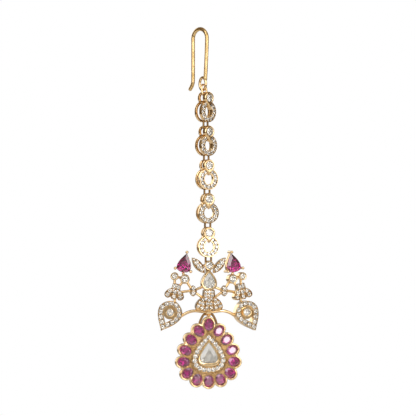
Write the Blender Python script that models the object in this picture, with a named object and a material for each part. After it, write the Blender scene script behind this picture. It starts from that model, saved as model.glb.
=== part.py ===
"""Maang tikka: a hook, five pave links, an openwork centre piece and a swinging ruby drop.

Units are metres, +Z is up and the fronts face -Y. The origin is the inside of the hook's bend,
where the jewel hangs. Each flat motif is drawn in its own plane, with x across, z up and y deep.
"""
from math import asin, atan2, cos, hypot, pi, radians, sin

import bmesh
import bpy
from mathutils import Matrix, Vector

MM = 0.001

# Clearances
STONE_GAP = 0.08 * MM
OVAL_GAP = 0.15 * MM
RING_GAP = 0.15 * MM
CULET_GAP = 0.15 * MM
SEAT_OVERLAP = 0.15 * MM

# Soldered faces step apart by this, so that no two of them lie in one plane
FACE_STEP = 0.02 * MM

# Depths shared by the links and the centre piece, from the middle of the links' gap
FACE_DEPTH = 1.6 * MM
GAP_DEPTH = 1.2 * MM
BACK_PLATE = 0.8 * MM
BACK_DEPTH = 1.2 * MM
BEZEL_RAISE = 0.55 * MM
POST_RADIUS = 0.4 * MM
WIRE_SETBACK = 0.55 * MM
LEAF_WIRE_SETBACK = 0.36 * MM

# Hook
HOOK_BEND_RADIUS = 2.9 * MM
HOOK_WIRE_RADIUS = 0.58 * MM
HOOK_LEG_HEIGHT = 11.3 * MM
HOOK_FREE_LEG_HEIGHT = 12.4 * MM
HOOK_FLARE_LENGTH = 2.9 * MM
HOOK_FLARE_ANGLE = radians(24)
EYE_WIRE_RADIUS = 0.42 * MM
EYE_WIDTH = 3.35 * MM
EYE_HEIGHT = 4.6 * MM
EYE_SETBACK = 0.9 * MM

# Shares of the eye: where its leg joins, how far in front the chain hangs, and the ring's top
EYE_LEG_SHARES = (0.42, 0.36)
CHAIN_SHARE = 0.28
RING_REACH_SHARE = 0.06
RING_TOP_SHARE = -0.05

# Jump rings
HOOK_RING_WIRE_RADIUS = 0.31 * MM
HOOK_RING_WIDTH = 2.6 * MM
LINK_RING_WIRE_RADIUS = 0.31 * MM
LINK_RING_WIDTH = 2.3 * MM

# Chain
LINK_YAWS = [radians(angle) for angle in (38, 32, 21, 11, 6)]
LINK_SPACING = 1.0 * MM
CHAIN_LEAN = 1.05 * MM
LINK_BEZEL_RADIUS = 1.85 * MM
LINK_STONE_RADIUS = 1.12 * MM
LINK_BEZEL_POINT = 3.0 * MM
LINK_RING_RADIUS = 3.2 * MM
LINK_RING_DROP = 4.07 * MM
LINK_HOLE_WIDTH = 2.86 * MM
LINK_HOLE_HEIGHT = 3.35 * MM
LINK_BACK_WIRE = 0.75 * MM
LINK_PAVE_COUNT = 11
LINK_PAVE_ARC = radians(300)

# Pave stones, as low cones with a flat table
PAVE_RADIUS = 0.58 * MM
PAVE_HEIGHT = 0.22 * MM
PAVE_SINK = 0.15 * MM

# Centre piece: the middle column
TOP_BEZEL_RADIUS = 1.43 * MM
TOP_STONE_RADIUS = 1.0 * MM
PEAR_WIDTH = 3.4 * MM
PEAR_LENGTH = 4.6 * MM
COLUMN_RAISE = 0.3 * MM
BEZEL_WALL = 0.65 * MM
SPINE_WIDTH = 1.6 * MM
LEAF_WIDTH = 2.3 * MM
LEAF_LENGTH = 5.9 * MM
LEAF_OFFSET = 3.17 * MM
LEAF_ANGLE = radians(-38)
LOTUS_WIDTH = 8.6 * MM
LOTUS_HEIGHT = 6.6 * MM
PETAL_DEPTH = 0.7 * MM

# Centre piece: wings, measured across and down from the fold line at the top bezel's height
FOLD_OFFSET = 4.7 * MM
FOLD_ANGLE = radians(10)
CONNECTOR_WIDTH = 2.0 * MM
CONNECTOR_LENGTH = 3.3 * MM
CONNECTOR_DROP = 7.65 * MM
CONNECTOR_SETBACK = 0.25 * MM
CONNECTOR_JOIN = (0.2 * MM, 0.1 * MM)
RUBY_WIDTH = 4.2 * MM
RUBY_LENGTH = 5.7 * MM
RUBY_PLACE = (2.44 * MM, 0.79 * MM)
RUBY_TILT = radians(-12.5)
RUBY_SETBACK = 0.2 * MM
PRONG_RADIUS = 0.33 * MM
PRONG_BALL_RADIUS = 0.45 * MM
PRONG_FOOT_RADIUS = 0.6 * MM
PRONG_FOOT_SETBACK = 0.6 * MM
GALLERY_WALL = 0.45 * MM
GALLERY_SETBACK = 0.8 * MM
INNER_BEZEL_RADIUS = 1.43 * MM
INNER_STONE_RADIUS = 1.0 * MM
INNER_BEZEL_PLACE = (2.4 * MM, -4.1 * MM)
OUTER_BEZEL_RADIUS = 1.2 * MM
OUTER_STONE_RADIUS = 0.77 * MM
OUTER_BEZEL_PLACE = (5.48 * MM, -3.27 * MM)
WING_LOTUS_WIDTH = 6.1 * MM
WING_LOTUS_HEIGHT = 4.8 * MM
WING_LOTUS_PLACE = (4.75 * MM, -5.5 * MM)
WING_LOTUS_TILT = radians(-13.5)
TAIL_WIDTH = 7.3 * MM
TAIL_LENGTH = 9.8 * MM
TAIL_PLACE = (6.8 * MM, -14.1 * MM)
TAIL_TURN = radians(153.5)
TAIL_BAND = 1.7 * MM
TAIL_WINDOW_LENGTH = 5.65 * MM
TAIL_STONE_RADIUS = 1.0 * MM
TAIL_BEZEL_RADIUS = 1.5 * MM
TAIL_BEZEL_RAISE = 0.1 * MM
TAIL_FLOOR_SETBACK = 0.7 * MM
TAIL_PAVE_COUNT = 13

# Wires of the centre piece
WIRE_RADIUS = 0.4 * MM
ARCH_WIRE_RADIUS = 0.45 * MM

# Drop
HINGE_DEPTH = 0.25 * MM
HINGE_DROP = 0.1 * MM
BAIL_GAP = 0.2 * MM
BAIL_WALL = 0.38 * MM
BAIL_WIDTH = 1.4 * MM
DROP_TOP = 1.35 * MM
DROP_FRONT = 1.2 * MM
DROP_BACK = 1.3 * MM
DROP_FLOOR = 0.45 * MM
DROP_WALL = 0.55 * MM
OVAL_WIDTH = 2.8 * MM
OVAL_LENGTH = 3.45 * MM
OVAL_COUNT = 14
OVAL_SETBACK = 0.3 * MM
OVAL_SIDE_GAP = 0.425 * MM
OVAL_FOOT_GAP = 0.2 * MM
HALO_WIDTH = 10.9 * MM
HALO_LENGTH = 13.1 * MM
HALO_DROP = 5.65 * MM
HALO_BAND = 2.35 * MM
HALO_RAISE = 0.05 * MM
HALO_FLOOR = 0.2 * MM
HALO_PAVE_COUNT = 20
CENTRE_STONE_WIDTH = 5.2 * MM
CENTRE_STONE_LENGTH = 6.0 * MM
CENTRE_STONE_SETBACK = 0.1 * MM

# Shapes of the pointed outlines: how pointed the top is, and how full the foot is
PEAR_SHAPE = (2.0, 1.0)
RUBY_SHAPE = (2.0, 0.75)
PETAL_SHAPE = (1.4, 0.8)
HALO_SHAPE = (2.0, 0.88)
TRIANGLE_SHAPE = (2.0, 0.5)
TAIL_SHAPE = (2.4, 1.4)
OVAL_PATH_SHAPE = (1.5, 0.85)

# Numbers of sides
ROUND_SIDES = 12
OUTLINE_SIDES = 16
RING_SIDES = 16
TAIL_SIDES = 18
HOOK_SIDES = 8
WIRE_SIDES = 5
ARCH_SIDES = 6
PRONG_SIDES = 6
PAVE_SIDES = 8

# Numbers of points on a path along which stones are spread
PATH_POINTS = 80


# Outlines: lists of (x, z) in a motif's plane

def circle(radius, sides=ROUND_SIDES):
    return oval(2 * radius, 2 * radius, sides)


def oval(width, height, sides=ROUND_SIDES):
    steps = [2 * pi * (i + 0.5) / sides for i in range(sides)]
    return [(width / 2 * sin(t), height / 2 * cos(t)) for t in steps]


def tear(width, length, shape=PEAR_SHAPE, sides=OUTLINE_SIDES):
    """A drop outline with its point up and its origin at its widest place."""
    point, foot = shape
    widest = point / (point + foot)
    most = widest ** (point / 2) * (1 - widest) ** (foot / 2)
    outline = []
    for i in range(sides):
        half_turn = pi * i / sides
        rise, fall = sin(half_turn), cos(half_turn)
        x = width / 2 * rise ** point * abs(fall) ** foot / most
        outline.append((x if fall > 0 else -x, length * (widest - rise ** 2)))
    return outline


def tear_tip(length, shape=PEAR_SHAPE):
    """The height of a drop outline's point above its origin."""
    return length * shape[0] / (shape[0] + shape[1])


def marquise(width, length, sides=OUTLINE_SIDES):
    """Two arcs that meet in a point above and below."""
    radius = (width ** 2 + length ** 2) / (4 * width)
    reach = asin(length / 2 / radius)
    half = sides // 2
    right = []
    for i in range(half):
        angle = reach * (1 - 2 * i / half)
        right.append((radius * cos(angle) - radius + width / 2, radius * sin(angle)))
    return right + [(-x, -z) for x, z in right]


def nested_tear(width, length, shape, margin, sides=OUTLINE_SIDES):
    """The drop outline that lies a margin outside this one, or inside with a negative margin."""
    widest = shape[0] / (shape[0] + shape[1])
    most = widest ** (shape[0] / 2) * (1 - widest) ** (shape[1] / 2)
    half_point = atan2(width / 2, length * most)
    point_margin = margin / sin(half_point)
    outline = tear(width + 2 * margin, length + margin + point_margin, shape, sides)
    shift = length * widest + point_margin - max(z for _, z in outline)
    return [(x, z + shift) for x, z in outline]


def spread(outline, count, start=0.0):
    """Evenly spaced (x, z, outward angle) along a closed outline, from a share of the first step."""
    closed = outline + outline[:1]
    lengths = [hypot(b[0] - a[0], b[1] - a[1]) for a, b in zip(closed, closed[1:])]
    step = sum(lengths) / count
    places = []
    travelled, reached = 0.0, start * step
    for (a, b), length in zip(zip(closed, closed[1:]), lengths):
        while reached < travelled + length and len(places) < count:
            share = (reached - travelled) / length
            angle = atan2(-(b[1] - a[1]), b[0] - a[0])
            places.append((a[0] + share * (b[0] - a[0]), a[1] + share * (b[1] - a[1]), angle))
            reached += step
        travelled += length
    return places


def arc_places(radius, count, reach):
    """Evenly spaced (x, z) on an arc that is centred on straight down."""
    angles = [reach * (i / (count - 1) - 0.5) for i in range(count)]
    return [(radius * sin(a), -radius * cos(a)) for a in angles]


# Solids: each is one closed body in its plane, moved by a matrix

def place(x, z, turn=0.0, y=0.0):
    return Matrix.Translation((x, y, z)) @ Matrix.Rotation(turn, 4, "Y")


def loft(sections, matrix=None, looped=False):
    """A closed body through sections of points, capped at its ends or joined in a loop."""
    matrix = matrix or Matrix.Identity(4)
    mesh = bmesh.new()
    rows = [[mesh.verts.new(matrix @ Vector(point)) for point in section] for section in sections]
    pairs = list(zip(rows, rows[1:]))
    if looped:
        pairs.append((rows[-1], rows[0]))
    for low, high in pairs:
        count = max(len(low), len(high))
        for i in range(count):
            j = (i + 1) % count
            if len(high) == 1:
                mesh.faces.new((low[i], low[j], high[0]))
            elif len(low) == 1:
                mesh.faces.new((low[0], high[j], high[i]))
            else:
                mesh.faces.new((low[i], low[j], high[j], high[i]))
    if not looped:
        for row in (rows[0], rows[-1]):
            if len(row) > 1:
                mesh.faces.new(row)
    bmesh.ops.recalc_face_normals(mesh, faces=mesh.faces)
    data = bpy.data.meshes.new("solid")
    mesh.to_mesh(data)
    mesh.free()
    return bpy.data.objects.new("solid", data)


def at_depth(outline, y):
    return [(x, y, z) for x, z in outline]


def slab(outline, front, back, matrix=None):
    return loft([at_depth(outline, front), at_depth(outline, back)], matrix)


def band(outer, inner, front, back, matrix=None):
    sections = [at_depth(outer, front), at_depth(outer, back), at_depth(inner, back), at_depth(inner, front)]
    return loft(sections, matrix, looped=True)


def cup(outer, inner, front, floor, back, matrix=None):
    """A bezel: a solid outline with a blind pocket for its stone."""
    sections = [at_depth(outer, back), at_depth(outer, front), at_depth(inner, front), at_depth(inner, floor)]
    return loft(sections, matrix)


def lathe(profile, matrix=None, sides=PAVE_SIDES):
    """A solid turned round the y axis, from (radius, y) pairs."""
    sections = []
    for radius, y in profile:
        if radius:
            sections.append(at_depth(circle(radius, sides), y))
        else:
            sections.append([(0.0, y, 0.0)])
    return loft(sections, matrix)


def rod(points, radius, matrix=None, sides=WIRE_SIDES, looped=False, side_axis=None):
    """A round wire along points, with square ends or closed in a loop."""
    points = [Vector(point) for point in points]
    side_axis = Vector(side_axis or (0, 1, 0))
    sections = []
    last = len(points) - 1
    for i, point in enumerate(points):
        before = points[i - 1] if looped or i > 0 else point
        after = points[(i + 1) % len(points)] if looped or i < last else point
        along = (after - before).normalized()
        across = side_axis.cross(along).normalized()
        up = along.cross(across)
        ring = [2 * pi * (k + 0.5) / sides for k in range(sides)]
        sections.append([point + across * radius * cos(a) + up * radius * sin(a) for a in ring])
    return loft(sections, matrix, looped)


def bar(start, end, radius, depth, matrix=None, sides=WIRE_SIDES):
    """A straight wire between two (x, z) places at one depth."""
    return rod([(start[0], depth, start[1]), (end[0], depth, end[1])], radius, matrix, sides)


def pave(x, z, face, matrix=None, radius=PAVE_RADIUS):
    """One small stone that rises from a face at depth -face."""
    seat = place(x, z, 0.0, -face)
    if matrix:
        seat = matrix @ seat
    profile = [(radius, PAVE_SINK), (radius * 0.6, -PAVE_HEIGHT)]
    return lathe(profile, seat)


def cut_stone(outline, crown, pavilion, table=0.6):
    """A cut stone with its girdle at y = 0, its table in front and its point behind."""
    top = [(x * table, z * table) for x, z in outline]
    sections = [at_depth(top, -crown), at_depth(outline, 0.0), [(0.0, pavilion, 0.0)]]
    return loft(sections)


# Materials and objects

def material(name, colour, metallic, roughness):
    result = bpy.data.materials.new(name)
    result.use_nodes = True
    shader = result.node_tree.nodes["Principled BSDF"]
    shader.inputs["Base Color"].default_value = (*colour, 1.0)
    shader.inputs["Metallic"].default_value = metallic
    shader.inputs["Roughness"].default_value = roughness
    return result


def add(name, piece, finish, location=(0, 0, 0), yaw=0.0, turn=0.0, parent=None):
    """Name a piece, give it its material and put it in the scene."""
    piece.name = name
    piece.data.name = name
    piece.data.materials.clear()
    piece.data.materials.append(finish)
    piece.data.shade_smooth()
    piece.data.set_sharp_from_angle(angle=radians(30))
    piece.location = location
    piece.rotation_mode = "ZYX"
    piece.rotation_euler = (0.0, turn, yaw)
    piece.parent = parent
    bpy.context.scene.collection.objects.link(piece)
    return piece


def fuse(pieces):
    """Join overlapping solids into one body."""
    base = pieces[0]
    group = bpy.data.collections.new("joined")
    for piece in pieces[1:]:
        group.objects.link(piece)
    bpy.context.scene.collection.objects.link(base)
    join = base.modifiers.new("join", "BOOLEAN")
    join.operation = "UNION"
    join.solver = "EXACT"
    join.operand_type = "COLLECTION"
    join.collection = group
    graph = bpy.context.evaluated_depsgraph_get()
    data = bpy.data.meshes.new_from_object(base.evaluated_get(graph))
    for piece in pieces:
        bpy.data.objects.remove(piece)
    bpy.data.collections.remove(group)
    merge_flats(data)
    return bpy.data.objects.new("fused", data)


def merge_flats(data):
    """Merge the flat faces that a union leaves cut up."""
    mesh = bmesh.new()
    mesh.from_mesh(data)
    bmesh.ops.remove_doubles(mesh, verts=mesh.verts, dist=0.002 * MM)
    bmesh.ops.dissolve_limit(mesh, angle_limit=radians(0.3), verts=mesh.verts, edges=mesh.edges)
    mesh.to_mesh(data)
    mesh.free()


# Hook and jump rings

def eye_height_in_hook():
    return HOOK_WIRE_RADIUS - HOOK_BEND_RADIUS - HOOK_LEG_HEIGHT - EYE_HEIGHT / 2


def eye_reach():
    """How far in front of the hook's middle the eye's centre lies."""
    return HOOK_BEND_RADIUS - EYE_SETBACK - EYE_WIDTH / 4


def chain_reach():
    """How far in front of the hook's middle the chain hangs."""
    return eye_reach() + CHAIN_SHARE * EYE_WIDTH


def top_post_height():
    """The height of the first link's top post, hung in the hook's eye."""
    return eye_height_in_hook() - EYE_HEIGHT / 2 - RING_GAP - POST_RADIUS


def hook():
    """The hook in its own plane, x to the front: free leg, bend, front leg and eye."""
    centre = HOOK_WIRE_RADIUS - HOOK_BEND_RADIUS
    foot = (-HOOK_BEND_RADIUS, centre - HOOK_FREE_LEG_HEIGHT)
    points = []
    for share in (1.0, 0.55, 0.2):
        reach = share * HOOK_FLARE_LENGTH
        flare = reach * sin(HOOK_FLARE_ANGLE) * share
        points.append((foot[0] - flare, foot[1] - reach * cos(HOOK_FLARE_ANGLE)))
    points.append((foot[0], foot[1] + HOOK_WIRE_RADIUS))
    for i in range(11):
        angle = pi * (1 - i / 10)
        points.append((HOOK_BEND_RADIUS * cos(angle), centre + HOOK_BEND_RADIUS * sin(angle)))
    eye = (eye_reach(), eye_height_in_hook())
    width, height = EYE_WIDTH - 2 * EYE_WIRE_RADIUS, EYE_HEIGHT - 2 * EYE_WIRE_RADIUS
    points.append((eye[0] + width * EYE_LEG_SHARES[0], eye[1] + height * EYE_LEG_SHARES[1]))
    leg = rod([(x, 0, z) for x, z in points], HOOK_WIRE_RADIUS, sides=HOOK_SIDES)
    ring = rod([(eye[0] + x, 0, eye[1] + z) for x, z in oval(width, height)],
               EYE_WIRE_RADIUS, looped=True)
    tip = points[0]
    ball = lathe([(0, -0.92 * HOOK_WIRE_RADIUS), (0.72 * HOOK_WIRE_RADIUS, -0.66 * HOOK_WIRE_RADIUS),
                  (HOOK_WIRE_RADIUS, 0), (0.72 * HOOK_WIRE_RADIUS, 0.66 * HOOK_WIRE_RADIUS),
                  (0, 0.92 * HOOK_WIRE_RADIUS)], place(tip[0], tip[1]))
    return fuse([leg, ring, ball])


def long_ring(width, height, wire_radius):
    """A closed jump ring with straight sides in its x, z plane, from its outer sizes."""
    bend = width - 2 * wire_radius
    straight = (height - width) / 2
    path = [(x, z + (straight if z > 0 else -straight)) for x, z in circle(bend / 2)]
    return rod([(x, 0, z) for x, z in path], wire_radius, looped=True)


# Links

def link_height():
    return LINK_BEZEL_RADIUS + LINK_RING_DROP + LINK_RING_RADIUS


def link_pitch():
    return link_height() + LINK_SPACING


def top_post():
    """The height of a link's top post over its stone."""
    return LINK_BEZEL_RADIUS - POST_RADIUS


def bottom_post():
    return -LINK_RING_DROP - LINK_RING_RADIUS + POST_RADIUS


def waist():
    """Where a link's two circles cross, as (x, z)."""
    fall = (LINK_RING_DROP ** 2 + LINK_BEZEL_RADIUS ** 2 - LINK_RING_RADIUS ** 2) / (2 * LINK_RING_DROP)
    return (LINK_BEZEL_RADIUS ** 2 - fall ** 2) ** 0.5, -fall


def link_frame():
    """A link's soldered metal: pave ring and stone bezel in front, open gallery behind."""
    plate_back = -GAP_DEPTH / 2
    ring_place = place(0, -LINK_RING_DROP)
    ring = band(circle(LINK_RING_RADIUS, RING_SIDES), oval(LINK_HOLE_WIDTH, LINK_HOLE_HEIGHT, RING_SIDES),
                -FACE_DEPTH, plate_back, ring_place)
    bezel_front = FACE_DEPTH + BEZEL_RAISE
    bezel = round_bezel(LINK_BEZEL_RADIUS, LINK_STONE_RADIUS, bezel_front, plate_back + FACE_STEP)
    point = slab([(x, -z) for x, z in ((-LINK_BEZEL_RADIUS * 0.8, LINK_BEZEL_RADIUS * 0.6),
                                       (LINK_BEZEL_RADIUS * 0.8, LINK_BEZEL_RADIUS * 0.6),
                                       (0, LINK_BEZEL_POINT))],
                 -FACE_DEPTH - BEZEL_RAISE / 2, plate_back - SEAT_OVERLAP)
    back_front, back = GAP_DEPTH / 2, GAP_DEPTH / 2 + BACK_PLATE
    big_hole = circle(LINK_RING_RADIUS - LINK_BACK_WIRE, RING_SIDES)
    big_back = band(circle(LINK_RING_RADIUS, RING_SIDES), big_hole, back_front, back, ring_place)
    small_back = band(circle(LINK_BEZEL_RADIUS), circle(LINK_BEZEL_RADIUS - LINK_BACK_WIRE),
                      back_front + FACE_STEP, back - FACE_STEP)
    side, height = waist()
    posts = []
    for x, z in ((0, top_post()), (0, bottom_post()), (side, height), (-side, height)):
        profile = [(POST_RADIUS, plate_back - SEAT_OVERLAP), (POST_RADIUS, back_front + SEAT_OVERLAP)]
        posts.append(lathe(profile, place(x, z), WIRE_SIDES))
    hole = (LINK_HOLE_WIDTH + LINK_HOLE_HEIGHT) / 4
    stones = []
    for x, z in arc_places((LINK_RING_RADIUS + hole) / 2, LINK_PAVE_COUNT, LINK_PAVE_ARC):
        stones.append(pave(x, z - LINK_RING_DROP, FACE_DEPTH))
    return fuse([ring, bezel, point, big_back, small_back] + posts + stones)


def stone_rise(radius):
    """How far a stone's girdle lies behind the rim of its bezel."""
    return 0.15 * radius


def round_pavilion(radius):
    return 0.75 * radius


def layer(steps):
    """A back face that lies some steps in front of the centre piece's back."""
    return BACK_DEPTH - steps * FACE_STEP


def round_stone(radius):
    return cut_stone(circle(radius), radius * 0.3, round_pavilion(radius))


def pear_pavilion():
    return 0.42 * PEAR_WIDTH


# Centre piece

def lotus(width, height, petal_stones, matrix):
    """A lotus block's solids and stones, hung from its top middle."""
    block_width, block_height = 0.38 * width, 0.36 * height
    half, foot = block_width / 2, block_width * 0.58
    block = [(-half, 0), (half, 0), (foot, -block_height), (-foot, -block_height)]
    solids = [slab(block, -FACE_DEPTH + FACE_STEP, layer(5), matrix)]
    petal_width, petal_length = 0.34 * width, 0.66 * height
    outline = tear(petal_width, petal_length, PETAL_SHAPE)
    # Each petal's share of the width across, its turn, and its front and back
    petals = ((-0.18, 22, FACE_DEPTH + 2 * FACE_STEP, BACK_DEPTH * 0.7),
              (0.18, -22, FACE_DEPTH + 2 * FACE_STEP, BACK_DEPTH * 0.7),
              (0.0, 0, FACE_DEPTH, PETAL_DEPTH - FACE_DEPTH))
    for shift, angle, face, back in petals:
        seat = matrix @ place(shift * width, -0.34 * height, radians(angle))
        centre = seat @ place(0, -tear_tip(petal_length, PETAL_SHAPE))
        solids.append(slab(outline, -face, back, centre))
        for across, down in petal_stones:
            spot = (across * petal_width, -down * petal_length)
            solids.append(pave(*spot, face, seat, PAVE_RADIUS * 0.85))
    for across in (-0.25, 0.25):
        solids.append(pave(across * block_width, -0.5 * block_height, FACE_DEPTH, matrix, PAVE_RADIUS * 0.9))
    return solids


def round_bezel(radius, stone_radius, face, back, matrix=None):
    """A round bezel whose rim lies at depth -face, with a pocket that clears its stone."""
    floor = -face + stone_rise(stone_radius) + round_pavilion(stone_radius) + CULET_GAP
    return cup(circle(radius), circle(stone_radius + STONE_GAP), -face, floor, back, matrix)


def prong(x, z, matrix):
    """A claw with a round head, standing beside a stone."""
    neck = FACE_DEPTH + PRONG_BALL_RADIUS * 0.7
    foot = FACE_DEPTH - PRONG_FOOT_SETBACK
    ball = neck + PRONG_BALL_RADIUS * 0.8
    profile = [(PRONG_FOOT_RADIUS, layer(8)), (PRONG_FOOT_RADIUS, -foot), (PRONG_RADIUS, -foot),
               (PRONG_RADIUS, -neck), (PRONG_BALL_RADIUS, -ball),
               (PRONG_RADIUS, -ball - PRONG_BALL_RADIUS * 0.7)]
    return lathe(profile, matrix @ place(x, z), PRONG_SIDES)


def ruby_seat():
    """The matrix of a wing's pear ruby, at its widest place."""
    shift = tear_tip(RUBY_LENGTH, RUBY_SHAPE) - RUBY_LENGTH / 2
    return place(*RUBY_PLACE, RUBY_TILT) @ place(0, -shift)


def ruby_mount():
    """The open gallery and three claws of a wing's pear ruby."""
    seat = ruby_seat()
    girdle = tear(RUBY_WIDTH, RUBY_LENGTH, RUBY_SHAPE)
    rim = -FACE_DEPTH + GALLERY_SETBACK
    inner = nested_tear(RUBY_WIDTH, RUBY_LENGTH, RUBY_SHAPE, -GALLERY_WALL)
    solids = [band(girdle, inner, rim, layer(3), seat)]
    reach = PRONG_RADIUS + STONE_GAP
    solids.append(prong(0, tear_tip(RUBY_LENGTH, RUBY_SHAPE) + reach, seat))
    shoulder = nested_tear(RUBY_WIDTH, RUBY_LENGTH, RUBY_SHAPE, reach)[round(0.38 * OUTLINE_SIDES)]
    for side in (-1, 1):
        solids.append(prong(side * shoulder[0], shoulder[1], seat))
    return solids


def tail():
    """A wing's paisley tail: a pave band round an open window with a small bezel."""
    seat = place(*TAIL_PLACE, TAIL_TURN)
    outer = tear(TAIL_WIDTH, TAIL_LENGTH, TAIL_SHAPE, TAIL_SIDES)
    window_width = TAIL_WIDTH - 2 * TAIL_BAND
    window = tear(window_width, TAIL_WINDOW_LENGTH, TAIL_SHAPE, TAIL_SIDES)
    solids = [band(outer, window, -FACE_DEPTH, BACK_DEPTH, seat)]
    path = tear(TAIL_WIDTH - TAIL_BAND, (TAIL_LENGTH + TAIL_WINDOW_LENGTH) / 2, TAIL_SHAPE, PATH_POINTS)
    for x, z, _ in spread(path, TAIL_PAVE_COUNT):
        solids.append(pave(x, z, FACE_DEPTH, seat))
    backing = window_width / 2 + SEAT_OVERLAP
    solids.append(band(circle(backing), circle(TAIL_STONE_RADIUS + 2 * STONE_GAP),
                       -FACE_DEPTH + TAIL_FLOOR_SETBACK, layer(5), seat))
    solids.append(round_bezel(TAIL_BEZEL_RADIUS, TAIL_STONE_RADIUS, FACE_DEPTH + TAIL_BEZEL_RAISE,
                              layer(10), seat))
    return solids


def connector_place():
    """Where a wing's wires end inside the connector, beside its middle."""
    return (CONNECTOR_JOIN[0], CONNECTOR_JOIN[1] - CONNECTOR_DROP)


def wing_solids():
    """One wing in its own plane, x outward from the fold line."""
    solids = ruby_mount() + tail()
    for spot, radius, stone in ((INNER_BEZEL_PLACE, INNER_BEZEL_RADIUS, INNER_STONE_RADIUS),
                                (OUTER_BEZEL_PLACE, OUTER_BEZEL_RADIUS, OUTER_STONE_RADIUS)):
        solids.append(round_bezel(radius, stone, FACE_DEPTH, layer(6), place(*spot)))
    top = place(*WING_LOTUS_PLACE, WING_LOTUS_TILT)
    solids += lotus(WING_LOTUS_WIDTH, WING_LOTUS_HEIGHT, ((0, 0.3), (0, 0.72)), top)
    down = lotus_point(0.0, 0.5)
    ruby_foot = ruby_seat() @ Vector((0, 0, tear_tip(RUBY_LENGTH, RUBY_SHAPE) - RUBY_LENGTH))
    joins = ((INNER_BEZEL_PLACE, (ruby_foot.x, ruby_foot.z)), (INNER_BEZEL_PLACE, OUTER_BEZEL_PLACE),
             (INNER_BEZEL_PLACE, lotus_point(-0.1, 0.2)), (OUTER_BEZEL_PLACE, lotus_point(0.1, 0.2)),
             (down, tail_top()), (INNER_BEZEL_PLACE, connector_place()),
             (connector_place(), lotus_point(0, 0.6)))
    for start, end in joins:
        solids.append(bar(start, end, WIRE_RADIUS, BACK_DEPTH - WIRE_SETBACK))
    return solids


def lotus_point(across, down):
    """A place on a wing's lotus block, from shares of its width and height."""
    top = place(*WING_LOTUS_PLACE, WING_LOTUS_TILT)
    spot = top @ Vector((across * WING_LOTUS_WIDTH, 0, -down * WING_LOTUS_HEIGHT))
    return (spot.x, spot.z)


def tail_top():
    """The middle of the tail's band, opposite its point."""
    seat = place(*TAIL_PLACE, TAIL_TURN)
    foot = tear_tip(TAIL_LENGTH, TAIL_SHAPE) - TAIL_LENGTH
    spot = seat @ Vector((0, 0, foot + TAIL_BAND / 2))
    return (spot.x, spot.z)


def wing_matrix(side):
    """From a wing's plane to the centre piece; side is 1 on the right and -1 on the left."""
    right = Matrix.Translation((FOLD_OFFSET, 0, 0)) @ Matrix.Rotation(FOLD_ANGLE, 4, "Z")
    return Matrix.Diagonal((side, 1, 1, 1)) @ right


def pear_outline(margin):
    return nested_tear(PEAR_WIDTH, PEAR_LENGTH, PEAR_SHAPE, margin)


def pear_height():
    """The height of the pear stone's widest place, its bezel hung from the top bezel."""
    tip = max(z for _, z in pear_outline(BEZEL_WALL))
    return -TOP_BEZEL_RADIUS + SEAT_OVERLAP - tip


def lotus_height():
    foot = min(z for _, z in pear_outline(BEZEL_WALL))
    return pear_height() + foot + SEAT_OVERLAP


def hinge_height():
    """The height of the drop's hinge under the top bezel's centre."""
    return lotus_height() - LOTUS_HEIGHT - HINGE_DROP


def arch_wire():
    """The wire under the lotus that carries the drop and ends in both tails."""
    level = hinge_height()
    tail_spot = wing_matrix(1) @ Vector((TAIL_PLACE[0], 0, TAIL_PLACE[1]))
    inner = tail_spot.x - TAIL_WIDTH / 2
    # Shares of the way to the tail, and the rise over the hinge as a share of the wire's radius
    route = ((0.0, 0.0), (0.2, 0.2), (0.55, 0.8), (0.8, -0.2), (0.95, -1.6), (1.1, -3.2))
    half = [(inner * share, HINGE_DEPTH + tail_spot.y * share ** 2 * 0.5, level + rise * ARCH_WIRE_RADIUS)
            for share, rise in route]
    mirrored = [(-x, y, z) for x, y, z in reversed(half[1:])]
    return rod(mirrored + half, ARCH_WIRE_RADIUS, sides=ARCH_SIDES)


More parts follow.
